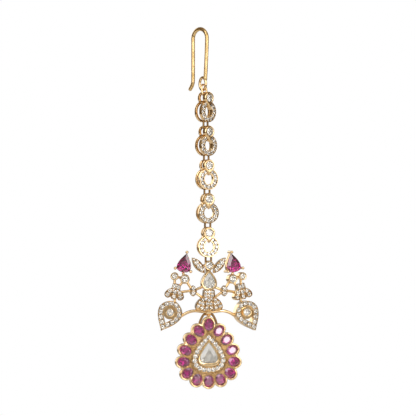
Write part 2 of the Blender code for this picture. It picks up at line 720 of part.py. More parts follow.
def centre_frame():
    """All the soldered metal of the centre piece, from the top bezel's centre."""
    plate_back = -GAP_DEPTH / 2
    column_face = FACE_DEPTH + COLUMN_RAISE
    solids = [round_bezel(TOP_BEZEL_RADIUS, TOP_STONE_RADIUS, column_face, plate_back)]
    post = centre_post()
    profile = [(POST_RADIUS, plate_back - SEAT_OVERLAP), (POST_RADIUS, GAP_DEPTH / 2 + SEAT_OVERLAP)]
    solids.append(lathe(profile, place(0, post)))
    half, foot = SPINE_WIDTH / 2, pear_height()
    spine = [(-half, foot), (half, foot), (half, post + POST_RADIUS), (-half, post + POST_RADIUS)]
    solids.append(slab(spine, GAP_DEPTH / 2, layer(-2)))
    floor = -column_face + stone_rise(PEAR_WIDTH / 2) + pear_pavilion() + CULET_GAP
    solids.append(cup(pear_outline(BEZEL_WALL), pear_outline(STONE_GAP), -column_face - FACE_STEP, floor,
                      BACK_DEPTH, place(0, pear_height())))
    leaf_face = FACE_DEPTH + FACE_STEP
    connector_face = FACE_DEPTH - CONNECTOR_SETBACK
    for side in (-1, 1):
        leaf = place(side * LEAF_OFFSET, 0, -side * LEAF_ANGLE)
        solids.append(slab(marquise(LEAF_WIDTH, LEAF_LENGTH), -leaf_face, BACK_DEPTH * 0.6, leaf))
        for share in (-0.27, -0.06, 0.15):
            solids.append(pave(0, share * LEAF_LENGTH, leaf_face, leaf))
        solids.append(pave(0, 0.34 * LEAF_LENGTH, leaf_face, leaf, PAVE_RADIUS * 0.7))
        solids.append(bar((side * SPINE_WIDTH / 4, 0), (side * LEAF_OFFSET, 0), 0.75 * WIRE_RADIUS,
                          BACK_DEPTH - LEAF_WIRE_SETBACK))
        spot = (side * FOLD_OFFSET, -CONNECTOR_DROP)
        connector = marquise(CONNECTOR_WIDTH, CONNECTOR_LENGTH)
        solids.append(slab(connector, -connector_face, layer(2), place(*spot)))
        for share in (-0.22, 0.22):
            solids.append(pave(spot[0], spot[1] + share * CONNECTOR_LENGTH, connector_face,
                               None, PAVE_RADIUS * 0.9))
        shoulder = (0.0, pear_height() - 0.1 * PEAR_LENGTH)
        solids.append(bar(spot, shoulder, WIRE_RADIUS, BACK_DEPTH - WIRE_SETBACK))
        solids.append(bar(spot, (side * 0.15 * LOTUS_WIDTH, lotus_height() - 0.42 * LOTUS_HEIGHT),
                          WIRE_RADIUS, 0.3 * BACK_DEPTH))
    petal_stones = ((0, 0.26), (-0.22, 0.7), (0.22, 0.7))
    solids += lotus(LOTUS_WIDTH, LOTUS_HEIGHT, petal_stones, place(0, lotus_height()))
    column = fuse(solids)
    wings = [moved(fuse(wing_solids()), wing_matrix(side)) for side in (-1, 1)]
    return fuse([column] + wings + [arch_wire()])


def centre_post():
    return TOP_BEZEL_RADIUS - POST_RADIUS


def moved(piece, matrix):
    """The same solid moved, with its faces kept outward when it is mirrored."""
    mesh = bmesh.new()
    mesh.from_mesh(piece.data)
    mesh.transform(matrix)
    if matrix.determinant() < 0:
        bmesh.ops.reverse_faces(mesh, faces=mesh.faces)
    mesh.to_mesh(piece.data)
    mesh.free()
    return piece


# Drop, measured from its hinge

def oval_places():
    """Where the drop's oval rubies lie: (x, z, angle of the long axis from +z)."""
    width = HALO_WIDTH + OVAL_LENGTH + 2 * OVAL_SIDE_GAP
    length = HALO_DROP + HALO_LENGTH + OVAL_FOOT_GAP - DROP_TOP - DROP_WALL - OVAL_GAP
    path = tear(width, length, OVAL_PATH_SHAPE, PATH_POINTS)
    top = -DROP_TOP - DROP_WALL - OVAL_GAP - OVAL_LENGTH / 2
    shift = top - tear_tip(length, OVAL_PATH_SHAPE)
    places = []
    for x, z, angle in spread(path, OVAL_COUNT):
        outward = 0.0 if abs(x) < 0.1 * MM and z > 0 else angle
        places.append((x, z + shift, outward))
    return places


def scallops(margin, steps=5):
    """The drop's wavy outline, at a margin round its oval rubies."""
    ovals = oval_places()
    middle = sum(z for _, z, _ in ovals) / len(ovals)
    bearings = [atan2(x, z - middle) for x, z, _ in ovals]
    across, along = OVAL_WIDTH / 2 + margin, OVAL_LENGTH / 2 + margin
    outline = []
    for k, (x, z, angle) in enumerate(ovals):
        before = bearings[k - 1]
        after = bearings[(k + 1) % len(ovals)]
        low = bearings[k] - ((bearings[k] - before) % (2 * pi)) / 2
        high = bearings[k] + ((after - bearings[k]) % (2 * pi)) / 2
        for i in range(steps):
            bearing = low + (high - low) * i / steps
            outline.append(ray_to_oval(bearing, middle, x, z, angle, across, along))
    return outline


def ray_to_oval(bearing, middle, x, z, angle, across, along):
    """The far point where a ray from the drop's middle leaves one oval."""
    ray = (sin(bearing), cos(bearing))
    turned = [(ray[0] * cos(angle) - ray[1] * sin(angle)) / across,
              (ray[0] * sin(angle) + ray[1] * cos(angle)) / along]
    gap = (-x, middle - z)
    start = [(gap[0] * cos(angle) - gap[1] * sin(angle)) / across,
             (gap[0] * sin(angle) + gap[1] * cos(angle)) / along]
    a = turned[0] ** 2 + turned[1] ** 2
    b = 2 * (turned[0] * start[0] + turned[1] * start[1])
    c = start[0] ** 2 + start[1] ** 2 - 1
    reach = (-b + max(0.0, b * b - 4 * a * c) ** 0.5) / (2 * a)
    return (reach * ray[0], middle + reach * ray[1])


def halo_height():
    return -HALO_DROP - tear_tip(HALO_LENGTH, HALO_SHAPE)


def centre_stone_height():
    """The centre stone's widest place, with even gold above and below it in the halo."""
    halo_top = -HALO_DROP - HALO_BAND * 1.5
    return halo_top - tear_tip(CENTRE_STONE_LENGTH, TRIANGLE_SHAPE)


def oval_pavilion():
    return 0.45 * OVAL_WIDTH


def drop_frame():
    """The drop's scalloped setting with its pave halo and its soldered bail."""
    floor = DROP_BACK - DROP_FLOOR
    solids = [cup(scallops(OVAL_GAP + DROP_WALL), scallops(OVAL_GAP), -DROP_FRONT, floor, DROP_BACK)]
    stone = nested_tear(CENTRE_STONE_WIDTH, CENTRE_STONE_LENGTH, TRIANGLE_SHAPE, STONE_GAP)
    halo = tear(HALO_WIDTH, HALO_LENGTH, HALO_SHAPE)
    lift = centre_stone_height() - halo_height()
    stone = [(x, z + lift) for x, z in stone]
    solids.append(cup(halo, stone, -DROP_FRONT - HALO_RAISE, floor - HALO_FLOOR, floor + SEAT_OVERLAP,
                      place(0, halo_height())))
    path_length = HALO_LENGTH - 1.35 * HALO_BAND
    path = tear(HALO_WIDTH - HALO_BAND, path_length, HALO_SHAPE, PATH_POINTS)
    path_shift = halo_height() + tear_tip(HALO_LENGTH, HALO_SHAPE) - 0.85 * HALO_BAND
    path_shift -= tear_tip(path_length, HALO_SHAPE)
    for x, z, _ in spread(path, HALO_PAVE_COUNT):
        solids.append(pave(x, z + path_shift, DROP_FRONT + HALO_RAISE))
    hole = ARCH_WIRE_RADIUS + BAIL_GAP
    sideways = Matrix.Rotation(pi / 2, 4, "Z")
    solids.append(band(circle(hole + BAIL_WALL), circle(hole), -BAIL_WIDTH / 2, BAIL_WIDTH / 2, sideways))
    half, low = BAIL_WIDTH / 2 - 5 * FACE_STEP, -DROP_TOP - DROP_WALL / 2
    neck_top = -hole - BAIL_WALL / 2
    solids.append(slab([(-half, low), (half, low), (half, neck_top), (-half, neck_top)],
                       -BAIL_WALL, BAIL_WALL))
    return fuse(solids)


def build():
    for old in list(bpy.data.objects):
        bpy.data.objects.remove(old)
    gold = material("gold", (0.83, 0.60, 0.27), 1.0, 0.2)
    diamond = material("diamond", (0.88, 0.88, 0.90), 0.0, 0.05)
    ruby = material("ruby", (0.55, 0.02, 0.20), 0.0, 0.05)

    add("hook", hook(), gold, yaw=LINK_YAWS[0] - pi / 2)
    forward = (sin(LINK_YAWS[0]), -cos(LINK_YAWS[0]))

    first_post = top_post_height()
    ring_top = eye_height_in_hook() + RING_TOP_SHARE * EYE_HEIGHT
    ring_foot = first_post - POST_RADIUS - RING_GAP - HOOK_RING_WIRE_RADIUS
    ring_height = ring_top - ring_foot + 2 * HOOK_RING_WIRE_RADIUS
    top_reach = eye_reach() + RING_REACH_SHARE * EYE_WIDTH
    foot_reach = chain_reach()
    lean = atan2(foot_reach - top_reach, ring_top - ring_foot)
    middle_reach = (top_reach + foot_reach) / 2
    ring = add("hook_ring", long_ring(HOOK_RING_WIDTH, ring_height, HOOK_RING_WIRE_RADIUS), gold,
               (forward[0] * middle_reach, forward[1] * middle_reach, (ring_top + ring_foot) / 2))
    ring.rotation_mode = "XYZ"
    ring.rotation_euler = (-lean, 0, LINK_YAWS[0])

    head = Vector((forward[0] * chain_reach(), forward[1] * chain_reach(), first_post - top_post()))
    run = link_pitch() * len(LINK_YAWS)
    frame = link_frame()
    stone = round_stone(LINK_STONE_RADIUS)
    girdle = -FACE_DEPTH - BEZEL_RAISE + stone_rise(LINK_STONE_RADIUS)
    places = []
    for i in range(len(LINK_YAWS) + 1):
        drop = i * link_pitch()
        places.append(head + Vector((CHAIN_LEAN * drop / run, 0, -drop)))
    places[-1].z += LINK_BEZEL_RADIUS - TOP_BEZEL_RADIUS
    yaws = LINK_YAWS + [0.0]
    for i, yaw in enumerate(LINK_YAWS):
        body = add(f"link_{i + 1}", frame if i == 0 else frame.copy(), gold, places[i], yaw)
        add(f"link_stone_{i + 1}", stone if i == 0 else stone.copy(), diamond, (0, girdle, 0), parent=body)
        last = i == len(LINK_YAWS) - 1
        upper = places[i].z + bottom_post()
        lower = places[i + 1].z + (centre_post() if last else top_post())
        height = upper - lower + 2 * (POST_RADIUS + RING_GAP + 2 * LINK_RING_WIRE_RADIUS)
        share = (places[i].z - (upper + lower) / 2) / (places[i].z - places[i + 1].z)
        spot = places[i].lerp(places[i + 1], share)
        spot.z = (upper + lower) / 2
        add(f"link_ring_{i + 1}", long_ring(LINK_RING_WIDTH, height, LINK_RING_WIRE_RADIUS), gold, spot,
            (yaw + yaws[i + 1]) / 2)

    centre = places[-1]
    body = add("centre_frame", centre_frame(), gold, centre)

    def set_stone(name, piece, finish, matrix, face, rise):
        """Place a stone on the centre piece with its girdle behind a face."""
        seat = matrix @ Matrix.Translation((0, -face + rise, 0))
        gem = add(name, piece, finish, parent=body)
        gem.rotation_mode = "QUATERNION"
        gem.location, gem.rotation_quaternion, _ = seat.decompose()

    set_stone("centre_round_stone", round_stone(TOP_STONE_RADIUS), diamond, place(0, 0),
              FACE_DEPTH + COLUMN_RAISE, stone_rise(TOP_STONE_RADIUS))
    pear = cut_stone(tear(PEAR_WIDTH, PEAR_LENGTH), 0.16 * PEAR_WIDTH, pear_pavilion())
    set_stone("centre_pear_stone", pear, diamond, place(0, pear_height()), FACE_DEPTH + COLUMN_RAISE,
              stone_rise(PEAR_WIDTH / 2))
    for side, label in ((-1, "left"), (1, "right")):
        mirror = Matrix.Diagonal((side, 1, 1, 1))
        wing = wing_matrix(side) @ mirror
        seat = mirror @ ruby_seat() @ mirror
        gem = cut_stone(tear(RUBY_WIDTH, RUBY_LENGTH, RUBY_SHAPE), 0.16 * RUBY_WIDTH, 0.42 * RUBY_WIDTH)
        set_stone(f"wing_ruby_{label}", gem, ruby, wing @ seat, FACE_DEPTH, RUBY_SETBACK)
        for kind, spot, radius, raise_by in (
                ("inner_stone", INNER_BEZEL_PLACE, INNER_STONE_RADIUS, 0.0),
                ("outer_stone", OUTER_BEZEL_PLACE, OUTER_STONE_RADIUS, 0.0),
                ("tail_stone", TAIL_PLACE, TAIL_STONE_RADIUS, TAIL_BEZEL_RAISE)):
            set_stone(f"wing_{kind}_{label}", round_stone(radius), diamond,
                      wing @ place(side * spot[0], spot[1]), FACE_DEPTH + raise_by, stone_rise(radius))

    hinge = centre + Vector((0, HINGE_DEPTH, hinge_height()))
    drop = add("drop_frame", drop_frame(), gold, hinge)
    oval_stone = cut_stone(oval(OVAL_WIDTH, OVAL_LENGTH), 0.2 * OVAL_WIDTH, oval_pavilion())
    oval_girdle = -DROP_FRONT + OVAL_SETBACK
    for i, (x, z, angle) in enumerate(oval_places()):
        gem = oval_stone if i == 0 else oval_stone.copy()
        add(f"drop_ruby_{i + 1:02d}", gem, ruby, (x, oval_girdle, z), turn=angle, parent=drop)
    centre_stone = cut_stone(tear(CENTRE_STONE_WIDTH, CENTRE_STONE_LENGTH, TRIANGLE_SHAPE),
                             0.12 * CENTRE_STONE_WIDTH, 0.3 * CENTRE_STONE_WIDTH)
    girdle = CENTRE_STONE_SETBACK - DROP_FRONT
    add("drop_stone", centre_stone, diamond, (0, girdle, centre_stone_height()), parent=drop)


build()
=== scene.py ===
# Looks of the maang tikka: polished gold, cut diamonds and rubies, pave work and studio light.
# Units are metres, +Z is up and the fronts face -Y. Each flat motif is drawn in its own plane,
# x across, z up and y deep, and a depth in front of the plane is negative.
from math import acos, asin, atan2, cos, hypot, pi, radians, sin, tan

import bmesh
import bpy
import numpy as np
from mathutils import Matrix, Vector


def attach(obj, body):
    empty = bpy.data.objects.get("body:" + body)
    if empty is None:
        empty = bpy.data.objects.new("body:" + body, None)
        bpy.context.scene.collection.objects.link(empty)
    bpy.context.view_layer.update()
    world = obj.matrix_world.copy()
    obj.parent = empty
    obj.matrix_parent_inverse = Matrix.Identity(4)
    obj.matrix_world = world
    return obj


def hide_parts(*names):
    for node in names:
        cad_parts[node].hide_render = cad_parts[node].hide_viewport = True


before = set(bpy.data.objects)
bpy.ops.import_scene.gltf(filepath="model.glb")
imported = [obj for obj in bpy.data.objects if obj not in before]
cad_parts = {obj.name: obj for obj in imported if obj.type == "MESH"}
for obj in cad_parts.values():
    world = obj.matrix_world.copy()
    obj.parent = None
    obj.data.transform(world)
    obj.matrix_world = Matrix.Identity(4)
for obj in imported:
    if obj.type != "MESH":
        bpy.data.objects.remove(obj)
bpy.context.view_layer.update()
MM = 0.001

# Sizes shared with the solids
STONE_GAP = 0.08 * MM
OVAL_GAP = 0.15 * MM
RING_GAP = 0.15 * MM
CULET_GAP = 0.15 * MM
FACE_DEPTH = 1.6 * MM
GAP_DEPTH = 1.2 * MM
BACK_PLATE = 0.8 * MM
BACK_DEPTH = 1.2 * MM
BEZEL_RAISE = 0.55 * MM
POST_RADIUS = 0.4 * MM
WIRE_SETBACK = 0.55 * MM

# Hook and jump rings
HOOK_BEND_RADIUS = 2.9 * MM
HOOK_WIRE_RADIUS = 0.58 * MM
HOOK_LEG_HEIGHT = 11.3 * MM
HOOK_FREE_LEG_HEIGHT = 12.4 * MM
HOOK_FLARE_LENGTH = 2.9 * MM
HOOK_FLARE_ANGLE = radians(24)
HOOK_FLARE_STEPS = 5
HOOK_STEPS = 12
HOOK_LEG_BEND = 1.3
HOOK_END = (0.42, 0.36)
EYE_WIRE_RADIUS = 0.42 * MM
EYE_WIDTH = 3.35 * MM
EYE_HEIGHT = 4.6 * MM
EYE_SETBACK = 0.9 * MM
CHAIN_SHARE = 0.28
RING_REACH_SHARE = 0.06
RING_TOP_SHARE = -0.05
RING_WIRE_RADIUS = 0.31 * MM
HOOK_RING_WIDTH = 2.6 * MM
LINK_RING_WIDTH = 2.3 * MM

# Chain
LINK_YAWS = [radians(angle) for angle in (38, 32, 21, 11, 6)]
LINK_SPACING = 1.0 * MM
CHAIN_LEAN = 1.05 * MM
LINK_BEZEL_RADIUS = 1.85 * MM
LINK_STONE_RADIUS = 1.12 * MM
LINK_BEZEL_POINT = 3.0 * MM
LINK_RING_RADIUS = 3.2 * MM
LINK_RING_DROP = 4.07 * MM
LINK_HOLE_WIDTH = 2.86 * MM
LINK_HOLE_HEIGHT = 3.35 * MM
LINK_BACK_WIRE = 0.75 * MM
LINK_PAVE_COUNT = 11
LINK_PAVE_ARC = radians(300)

# Centre piece: the middle column
TOP_BEZEL_RADIUS = 1.43 * MM
TOP_STONE_RADIUS = 1.0 * MM
PEAR_WIDTH = 3.4 * MM
PEAR_LENGTH = 4.6 * MM
COLUMN_RAISE = 0.3 * MM
BEZEL_WALL = 0.65 * MM
SPINE_WIDTH = 1.6 * MM
LEAF_WIDTH = 2.3 * MM
LEAF_LENGTH = 5.9 * MM
LEAF_OFFSET = 3.17 * MM
LEAF_ANGLE = radians(-38)
LOTUS_WIDTH = 8.6 * MM
LOTUS_HEIGHT = 6.6 * MM
SEAT_OVERLAP = 0.15 * MM

# Centre piece: wings, measured across and down from the fold line at the top bezel's height
FOLD_OFFSET = 4.7 * MM
FOLD_ANGLE = radians(10)
CONNECTOR_WIDTH = 2.0 * MM
CONNECTOR_LENGTH = 3.3 * MM
CONNECTOR_DROP = 7.65 * MM
CONNECTOR_SETBACK = 0.25 * MM
RUBY_WIDTH = 4.2 * MM
RUBY_LENGTH = 5.7 * MM
RUBY_PLACE = (2.44 * MM, 0.79 * MM)
RUBY_TILT = radians(-12.5)
RUBY_SETBACK = 0.2 * MM
PRONG_RADIUS = 0.33 * MM
PRONG_BALL_RADIUS = 0.45 * MM
GALLERY_WALL = 0.45 * MM
GALLERY_SETBACK = 0.8 * MM
INNER_BEZEL_RADIUS = 1.43 * MM
INNER_STONE_RADIUS = 1.0 * MM
INNER_BEZEL_PLACE = (2.4 * MM, -4.1 * MM)
OUTER_BEZEL_RADIUS = 1.2 * MM
OUTER_STONE_RADIUS = 0.77 * MM
OUTER_BEZEL_PLACE = (5.48 * MM, -3.27 * MM)
WING_LOTUS_WIDTH = 6.1 * MM
WING_LOTUS_HEIGHT = 4.8 * MM
WING_LOTUS_PLACE = (4.75 * MM, -5.5 * MM)
WING_LOTUS_TILT = radians(-13.5)
TAIL_WIDTH = 7.3 * MM
TAIL_LENGTH = 9.8 * MM
TAIL_PLACE = (6.8 * MM, -14.1 * MM)
TAIL_TURN = radians(153.5)
TAIL_BAND = 1.7 * MM
TAIL_WINDOW_LENGTH = 5.65 * MM
TAIL_STONE_RADIUS = 1.0 * MM
TAIL_BEZEL_RADIUS = 1.5 * MM
TAIL_BEZEL_RAISE = 0.1 * MM
TAIL_PAVE_COUNT = 13
WIRE_RADIUS = 0.4 * MM
ARCH_WIRE_RADIUS = 0.45 * MM

# Drop
HINGE_DEPTH = 0.25 * MM
HINGE_DROP = 0.1 * MM
BAIL_GAP = 0.2 * MM
BAIL_WALL = 0.38 * MM
BAIL_WIDTH = 1.4 * MM
DROP_TOP = 1.35 * MM
DROP_FRONT = 1.2 * MM
DROP_BACK = 1.3 * MM
DROP_FLOOR = 0.45 * MM
DROP_WALL = 0.55 * MM
OVAL_WIDTH = 2.8 * MM
OVAL_LENGTH = 3.45 * MM
OVAL_COUNT = 14
OVAL_SETBACK = 0.3 * MM
OVAL_SIDE_GAP = 0.425 * MM
OVAL_FOOT_GAP = 0.2 * MM
HALO_WIDTH = 10.9 * MM
HALO_LENGTH = 13.1 * MM
HALO_DROP = 5.65 * MM
HALO_BAND = 2.35 * MM
HALO_RAISE = 0.05 * MM
HALO_PAVE_COUNT = 20
CENTRE_STONE_WIDTH = 5.2 * MM
CENTRE_STONE_LENGTH = 6.0 * MM
CENTRE_STONE_SETBACK = 0.1 * MM

# Shapes of the pointed outlines: how pointed the top is, and how full the foot is
PEAR_SHAPE = (2.0, 1.0)
RUBY_SHAPE = (2.0, 0.75)
PETAL_SHAPE = (1.4, 0.8)
HALO_SHAPE = (2.0, 0.88)
TRIANGLE_SHAPE = (2.0, 0.5)
TAIL_SHAPE = (2.4, 1.4)
OVAL_PATH_SHAPE = (1.5, 0.85)

# Plates and bezels that only the looks have: small edges, rims and the channels of pave stones
EDGE = 0.07 * MM
RIM = 0.2 * MM
THIN_RIM = 0.14 * MM
THINNEST_RIM = 0.1 * MM
CHANNEL = 0.62 * MM
LINK_BEZEL_SHOULDER = 0.25 * MM
GALLERY_CORNER = 0.22 * MM
GALLERY_GROOVE = 0.18 * MM

# A lip from the outside in: share of the wall's width, depth in edges, share of the shoulder
BEZEL_LIP = ((0.0, 2.5, 1.0), (0.06, 1.0, 1.0), (0.2, 0.0, 0.6), (0.45, 0.0, 0.0), (0.7, 0.0, 0.0),
             (0.88, 0.5, 0.0), (1.0, 1.5, 0.0))
TRAY_LIP = ((0.0, 3.0), (0.1, 1.0), (0.3, 0.0), (0.75, 0.0), (0.92, 1.0), (1.0, 2.5))

# Cut stones: crown and pavilion as shares of the radius or width, table as a share of the girdle
ROUND_CUT = {"crown": 0.3, "pavilion": 0.75, "table": 0.58}
PAVE_CUT = {"crown": 0.24, "pavilion": 0.78, "table": 0.56}
PEAR_CUT = {"crown": 0.16, "pavilion": 0.42, "table": 0.6}
PEAR_RUBY_CUT = {"crown": 0.16, "pavilion": 0.42, "table": 0.66}
OVAL_CUT = {"crown": 0.2, "pavilion": 0.45, "table": 0.62}
TRIANGLE_CUT = {"crown": 0.12, "pavilion": 0.3, "table": 0.6}
STONE_RISE = 0.15
GIRDLE_SHARE = 0.05
WAIST_SHARE = 0.55
STAR_SHARE = 1.35
STAR_DIVISOR = 2.25
LOWER_REACH = 0.36
LOWER_DEPTH = 0.76

# Pave stones and the beads that hold them
SMALL_PAVE_RADIUS = 0.5 * MM
PAVE_RADIUS = 0.6 * MM
LARGE_PAVE_RADIUS = 0.68 * MM
PAVE_SETBACK = 0.1 * MM
PAVE_TURN = 0.4
PAVE_TURN_WAVE = (9000, 7000)
BEAD_RADIUS = 0.21 * MM
BEAD_PROFILE = ((0, -0.75), (0.6, -0.55), (0.95, -0.1), (1, 0.3))
BEAD_FOOT = 0.8
BEAD_SINK = 0.9 * CHANNEL
ROW_BEAD_REACH = 0.78
CLUSTER_BEAD_REACH = 1.08
CLUSTER_BEAD_SHARE = 0.8

# Claws; the head is a list of radii and heights above the neck, both in ball radii
CLAW_FOOT_RADIUS = 0.4 * MM
CLAW_WAIST_RADIUS = 0.42 * MM
CLAW_NECK = 0.7
CLAW_HEAD = ((0.86, 0.3), (1.0, 0.8), (0.86, 1.25), (0.5, 1.55), (0.0, 1.65))

# The centre piece's parts: their backs lie at different depths, so that no two share a plane
SPINE_BACK = BACK_DEPTH - EDGE / 2
CONNECTOR_BACK = BACK_DEPTH - 0.04 * MM
GALLERY_BACK = BACK_DEPTH - 0.05 * MM
BLOCK_BACK = BACK_DEPTH - 0.1 * MM
WING_BEZEL_BACK = BACK_DEPTH - 0.13 * MM
CLAW_BACK = BACK_DEPTH - 0.2 * MM
LEAF_WIRE_DEPTH = BACK_DEPTH - 0.36 * MM
LEAF_BACK = 0.6 * BACK_DEPTH
SIDE_PETAL_BACK = 0.7 * BACK_DEPTH
LOTUS_WIRE_DEPTH = 0.3 * BACK_DEPTH
LEAF_RAISE = 0.02 * MM
LEAF_WIRE_RADIUS = 0.3 * MM
WINDOW_SETBACK = 0.7 * MM
CONNECTOR_JOIN = (0.2 * MM, 0.1 * MM - CONNECTOR_DROP)
CONNECTOR_SHOULDER = 0.1
CONNECTOR_FOOT = (0.15, 0.42)

# Where the wires in a wing meet its lotus: shares of its width and height, across and down
LOTUS_JOINS = {"inner": (-0.1, 0.2), "outer": (0.1, 0.2), "tail": (0, 0.5), "connector": (0, 0.6)}

# Lotus: shares of its own width and height
LOTUS_BLOCK = (0.38, 0.36)
LOTUS_BLOCK_FOOT = 0.58
LOTUS_PETAL = (0.34, 0.66)
LOTUS_PETAL_TOP = 0.34
LOTUS_PETAL_SHIFT = 0.18
LOTUS_PETAL_ANGLE = radians(22)
LOTUS_PETAL_RAISE = 0.06 * MM
LOTUS_PETAL_THICKNESS = 0.7 * MM

# Pave places: shares across and down of a lotus' block and petals, and along a leaf and a connector
BLOCK_STONES = [(across, down) for across in (-0.3, 0, 0.3) for down in (0.28, 0.72)]
PETAL_STONES = ((0, 0.2), (-0.17, 0.44), (0.17, 0.44), (-0.22, 0.72), (0.22, 0.72))
WING_BLOCK_STONES = ((-0.25, 0.5), (0.25, 0.5))
WING_PETAL_STONES = ((0, 0.3), (0, 0.72))
LEAF_STONES = ((-0.27, 1.0), (-0.05, 1.25), (0.18, 1.15), (0.36, 0.7))
CONNECTOR_STONES = (-0.21, 0.21)

# The arch wire from the middle out: share of the way to the tail, rise in wire radii
ARCH_ROUTE = ((0.0, 0.0), (0.2, 0.2), (0.55, 0.8), (0.8, -0.2), (0.95, -1.6), (1.1, -3.2))

# The drop's fine work, and the route of a strap behind its bail: x, y and z in mm from the hinge
POCKET_WALL = 0.26 * MM
HALO_RIM = 0.3 * MM
OVAL_LEAN = radians(3.8)
SCALLOP_STEPS = 12
DROP_BEZEL_WALL = 0.62 * MM
DROP_BEZEL_RAISE = 0.12 * MM
DROP_SEAT_RAISE = 0.2 * MM
HALO_SEAM = 0.1 * MM
BAIL_NECK_MARGIN = 0.1 * MM
BAIL_NECK_TAPER = 0.8
CRESCENT = 0.4 * MM
PAVE_PATH_LENGTH = 1.45
PAVE_PATH_TOP = 0.85
STRAP_RADIUS = 0.36 * MM
STRAP_ROUTE = ((0.5, 0.62, -0.68), (1.3, 0.75, -0.8), (1.85, 0.8, -1.6), (2.4, 0.9, -2.8), (2.6, 0.9, -3.9))

# Fineness of the meshes
FINE = 72
TUBE_SIDES = 20
GEM_SIDES = 48
ROUND_GEM_SIDES = 32
TEAR_STEPS = 240
OVAL_PATH_STEPS = 80
ARC_STEPS = 40
DOME_ANGLES = [radians(angle) for angle in (0, 25, 45, 65, 80)]
SHARP_ANGLE = radians(38)
MERGE_DISTANCE = 0.0005 * MM
DISSOLVE_DISTANCE = 0.0002 * MM
MITER_LIMIT = 0.3
KEPT_SHARE = 0.97

# Studio
CAMERA_TURN = radians(-8)
CAMERA_DISTANCE = 900 * MM
CAMERA_TARGET = (2.2 * MM, -1.6 * MM, -53.2 * MM)
VIEW_WIDTH = 124.8 * MM
SENSOR = 36.0
FLOOR_HEIGHT = -190 * MM
FLOOR_RADIUS = 420 * MM
FLOOR_TONE = 0.9
PAPER_ROUGHNESS = 0.9
PAPER_SCALE = 60
PAPER_BUMP = 0.1
PAPER_DEPTH = 0.1 * MM
NEAREST = 10 * MM

# Name, degrees round the jewel from and to, lowest, highest and distance in mm, brightness
SOFTBOXES = (("table_light", 11.5, 24, -112, 430, 620, 4.6),
             ("right_box", 36, 64, -120, 420, 620, 1.6),
             ("left_box", -58, -20, -60, 560, 620, 1.9),
             ("back_right", 130, 165, -60, 460, 620, 1.2),
             ("back_left", -165, -130, -60, 460, 620, 1.2),
             ("top_box", -30, 30, 480, 720, 300, 1.4))

# What the jewel mirrors: tones from the front round to the back, times tones from below to above
ROOM_AROUND = ((0.0, (0.52, 0.52, 0.52)), (0.2, (0.45, 0.45, 0.45)), (0.42, (0.19, 0.14, 0.10)),
               (0.7, (0.15, 0.11, 0.07)), (1.0, (0.42, 0.42, 0.42)))
ROOM_UPWARD = ((0.0, (0.35, 0.27, 0.2)), (0.42, (0.62, 0.55, 0.46)), (0.6, (1.0, 1.0, 1.0)),
               (1.0, (1.5, 1.5, 1.5)))


# Outlines: lists of (x, z), clockwise from the top

def oval(width, height, sides=FINE):
    steps = [2 * pi * i / sides for i in range(sides)]
    return [(width / 2 * sin(t), height / 2 * cos(t)) for t in steps]


def circle(radius, sides=FINE):
    return oval(2 * radius, 2 * radius, sides)


def even(outline, count=FINE):
    """The same closed outline with evenly spaced points, from its first point."""
    points = np.array(list(outline) + [outline[0]])
    lengths = np.hypot(*np.diff(points, axis=0).T)
    travelled = np.concatenate([[0], np.cumsum(lengths)])
    wanted = np.linspace(0, travelled[-1], count, endpoint=False)
    columns = [np.interp(wanted, travelled, points[:, k]) for k in (0, 1)]
    return [(float(x), float(z)) for x, z in zip(*columns)]


def raw_tear(width, length, shape, sides):
    point, foot = shape
    widest = point / (point + foot)
    most = widest ** (point / 2) * (1 - widest) ** (foot / 2)
    outline = []
    for i in range(sides):
        half_turn = pi * i / sides
        rise, fall = sin(half_turn), cos(half_turn)
        x = width / 2 * rise ** point * abs(fall) ** foot / most
        outline.append((x if fall > 0 else -x, length * (widest - rise ** 2)))
    return outline


def tear(width, length, shape, count=FINE):
    """A drop outline with its point up and its origin at its widest place."""
    return even(raw_tear(width, length, shape, TEAR_STEPS), count)


def tear_tip(length, shape):
    return length * shape[0] / (shape[0] + shape[1])


def nested_tear(width, length, shape, margin):
    """The drop outline that lies a margin outside this one, or inside with a negative margin."""
    widest = shape[0] / (shape[0] + shape[1])
    most = widest ** (shape[0] / 2) * (1 - widest) ** (shape[1] / 2)
    half_point = atan2(width / 2, length * most)
    point_margin = margin / sin(half_point)
    outline = tear(width + 2 * margin, length + margin + point_margin, shape)
    shift = length * widest + point_margin - outline[0][1]
    return [(x, z + shift) for x, z in outline]


def marquise(width, length):
    """Two arcs that meet in a point above and below."""
    radius = (width ** 2 + length ** 2) / (4 * width)
    reach = asin(length / 2 / radius)
    half = FINE // 2
    right = []
    for i in range(half):
        angle = reach * (1 - 2 * i / half)
        right.append((radius * cos(angle) - radius + width / 2, radius * sin(angle)))
    return right + [(-x, -z) for x, z in right]


def pointed_circle(radius, point):
    """A circle drawn out to a point below."""
    reach = pi - acos(radius / point)
    arc = [reach * i / ARC_STEPS for i in range(ARC_STEPS + 1)]
    right = [(radius * sin(t), radius * cos(t)) for t in arc]
    left = [(-x, z) for x, z in reversed(right[1:])]
    return even(right + [(0.0, -point)] + left)


def rounded_block(top, foot, height):
    """A block that widens downward, from its top middle."""
    return even([(0, 0), (top, 0), (foot, -height), (-foot, -height), (-top, 0)])


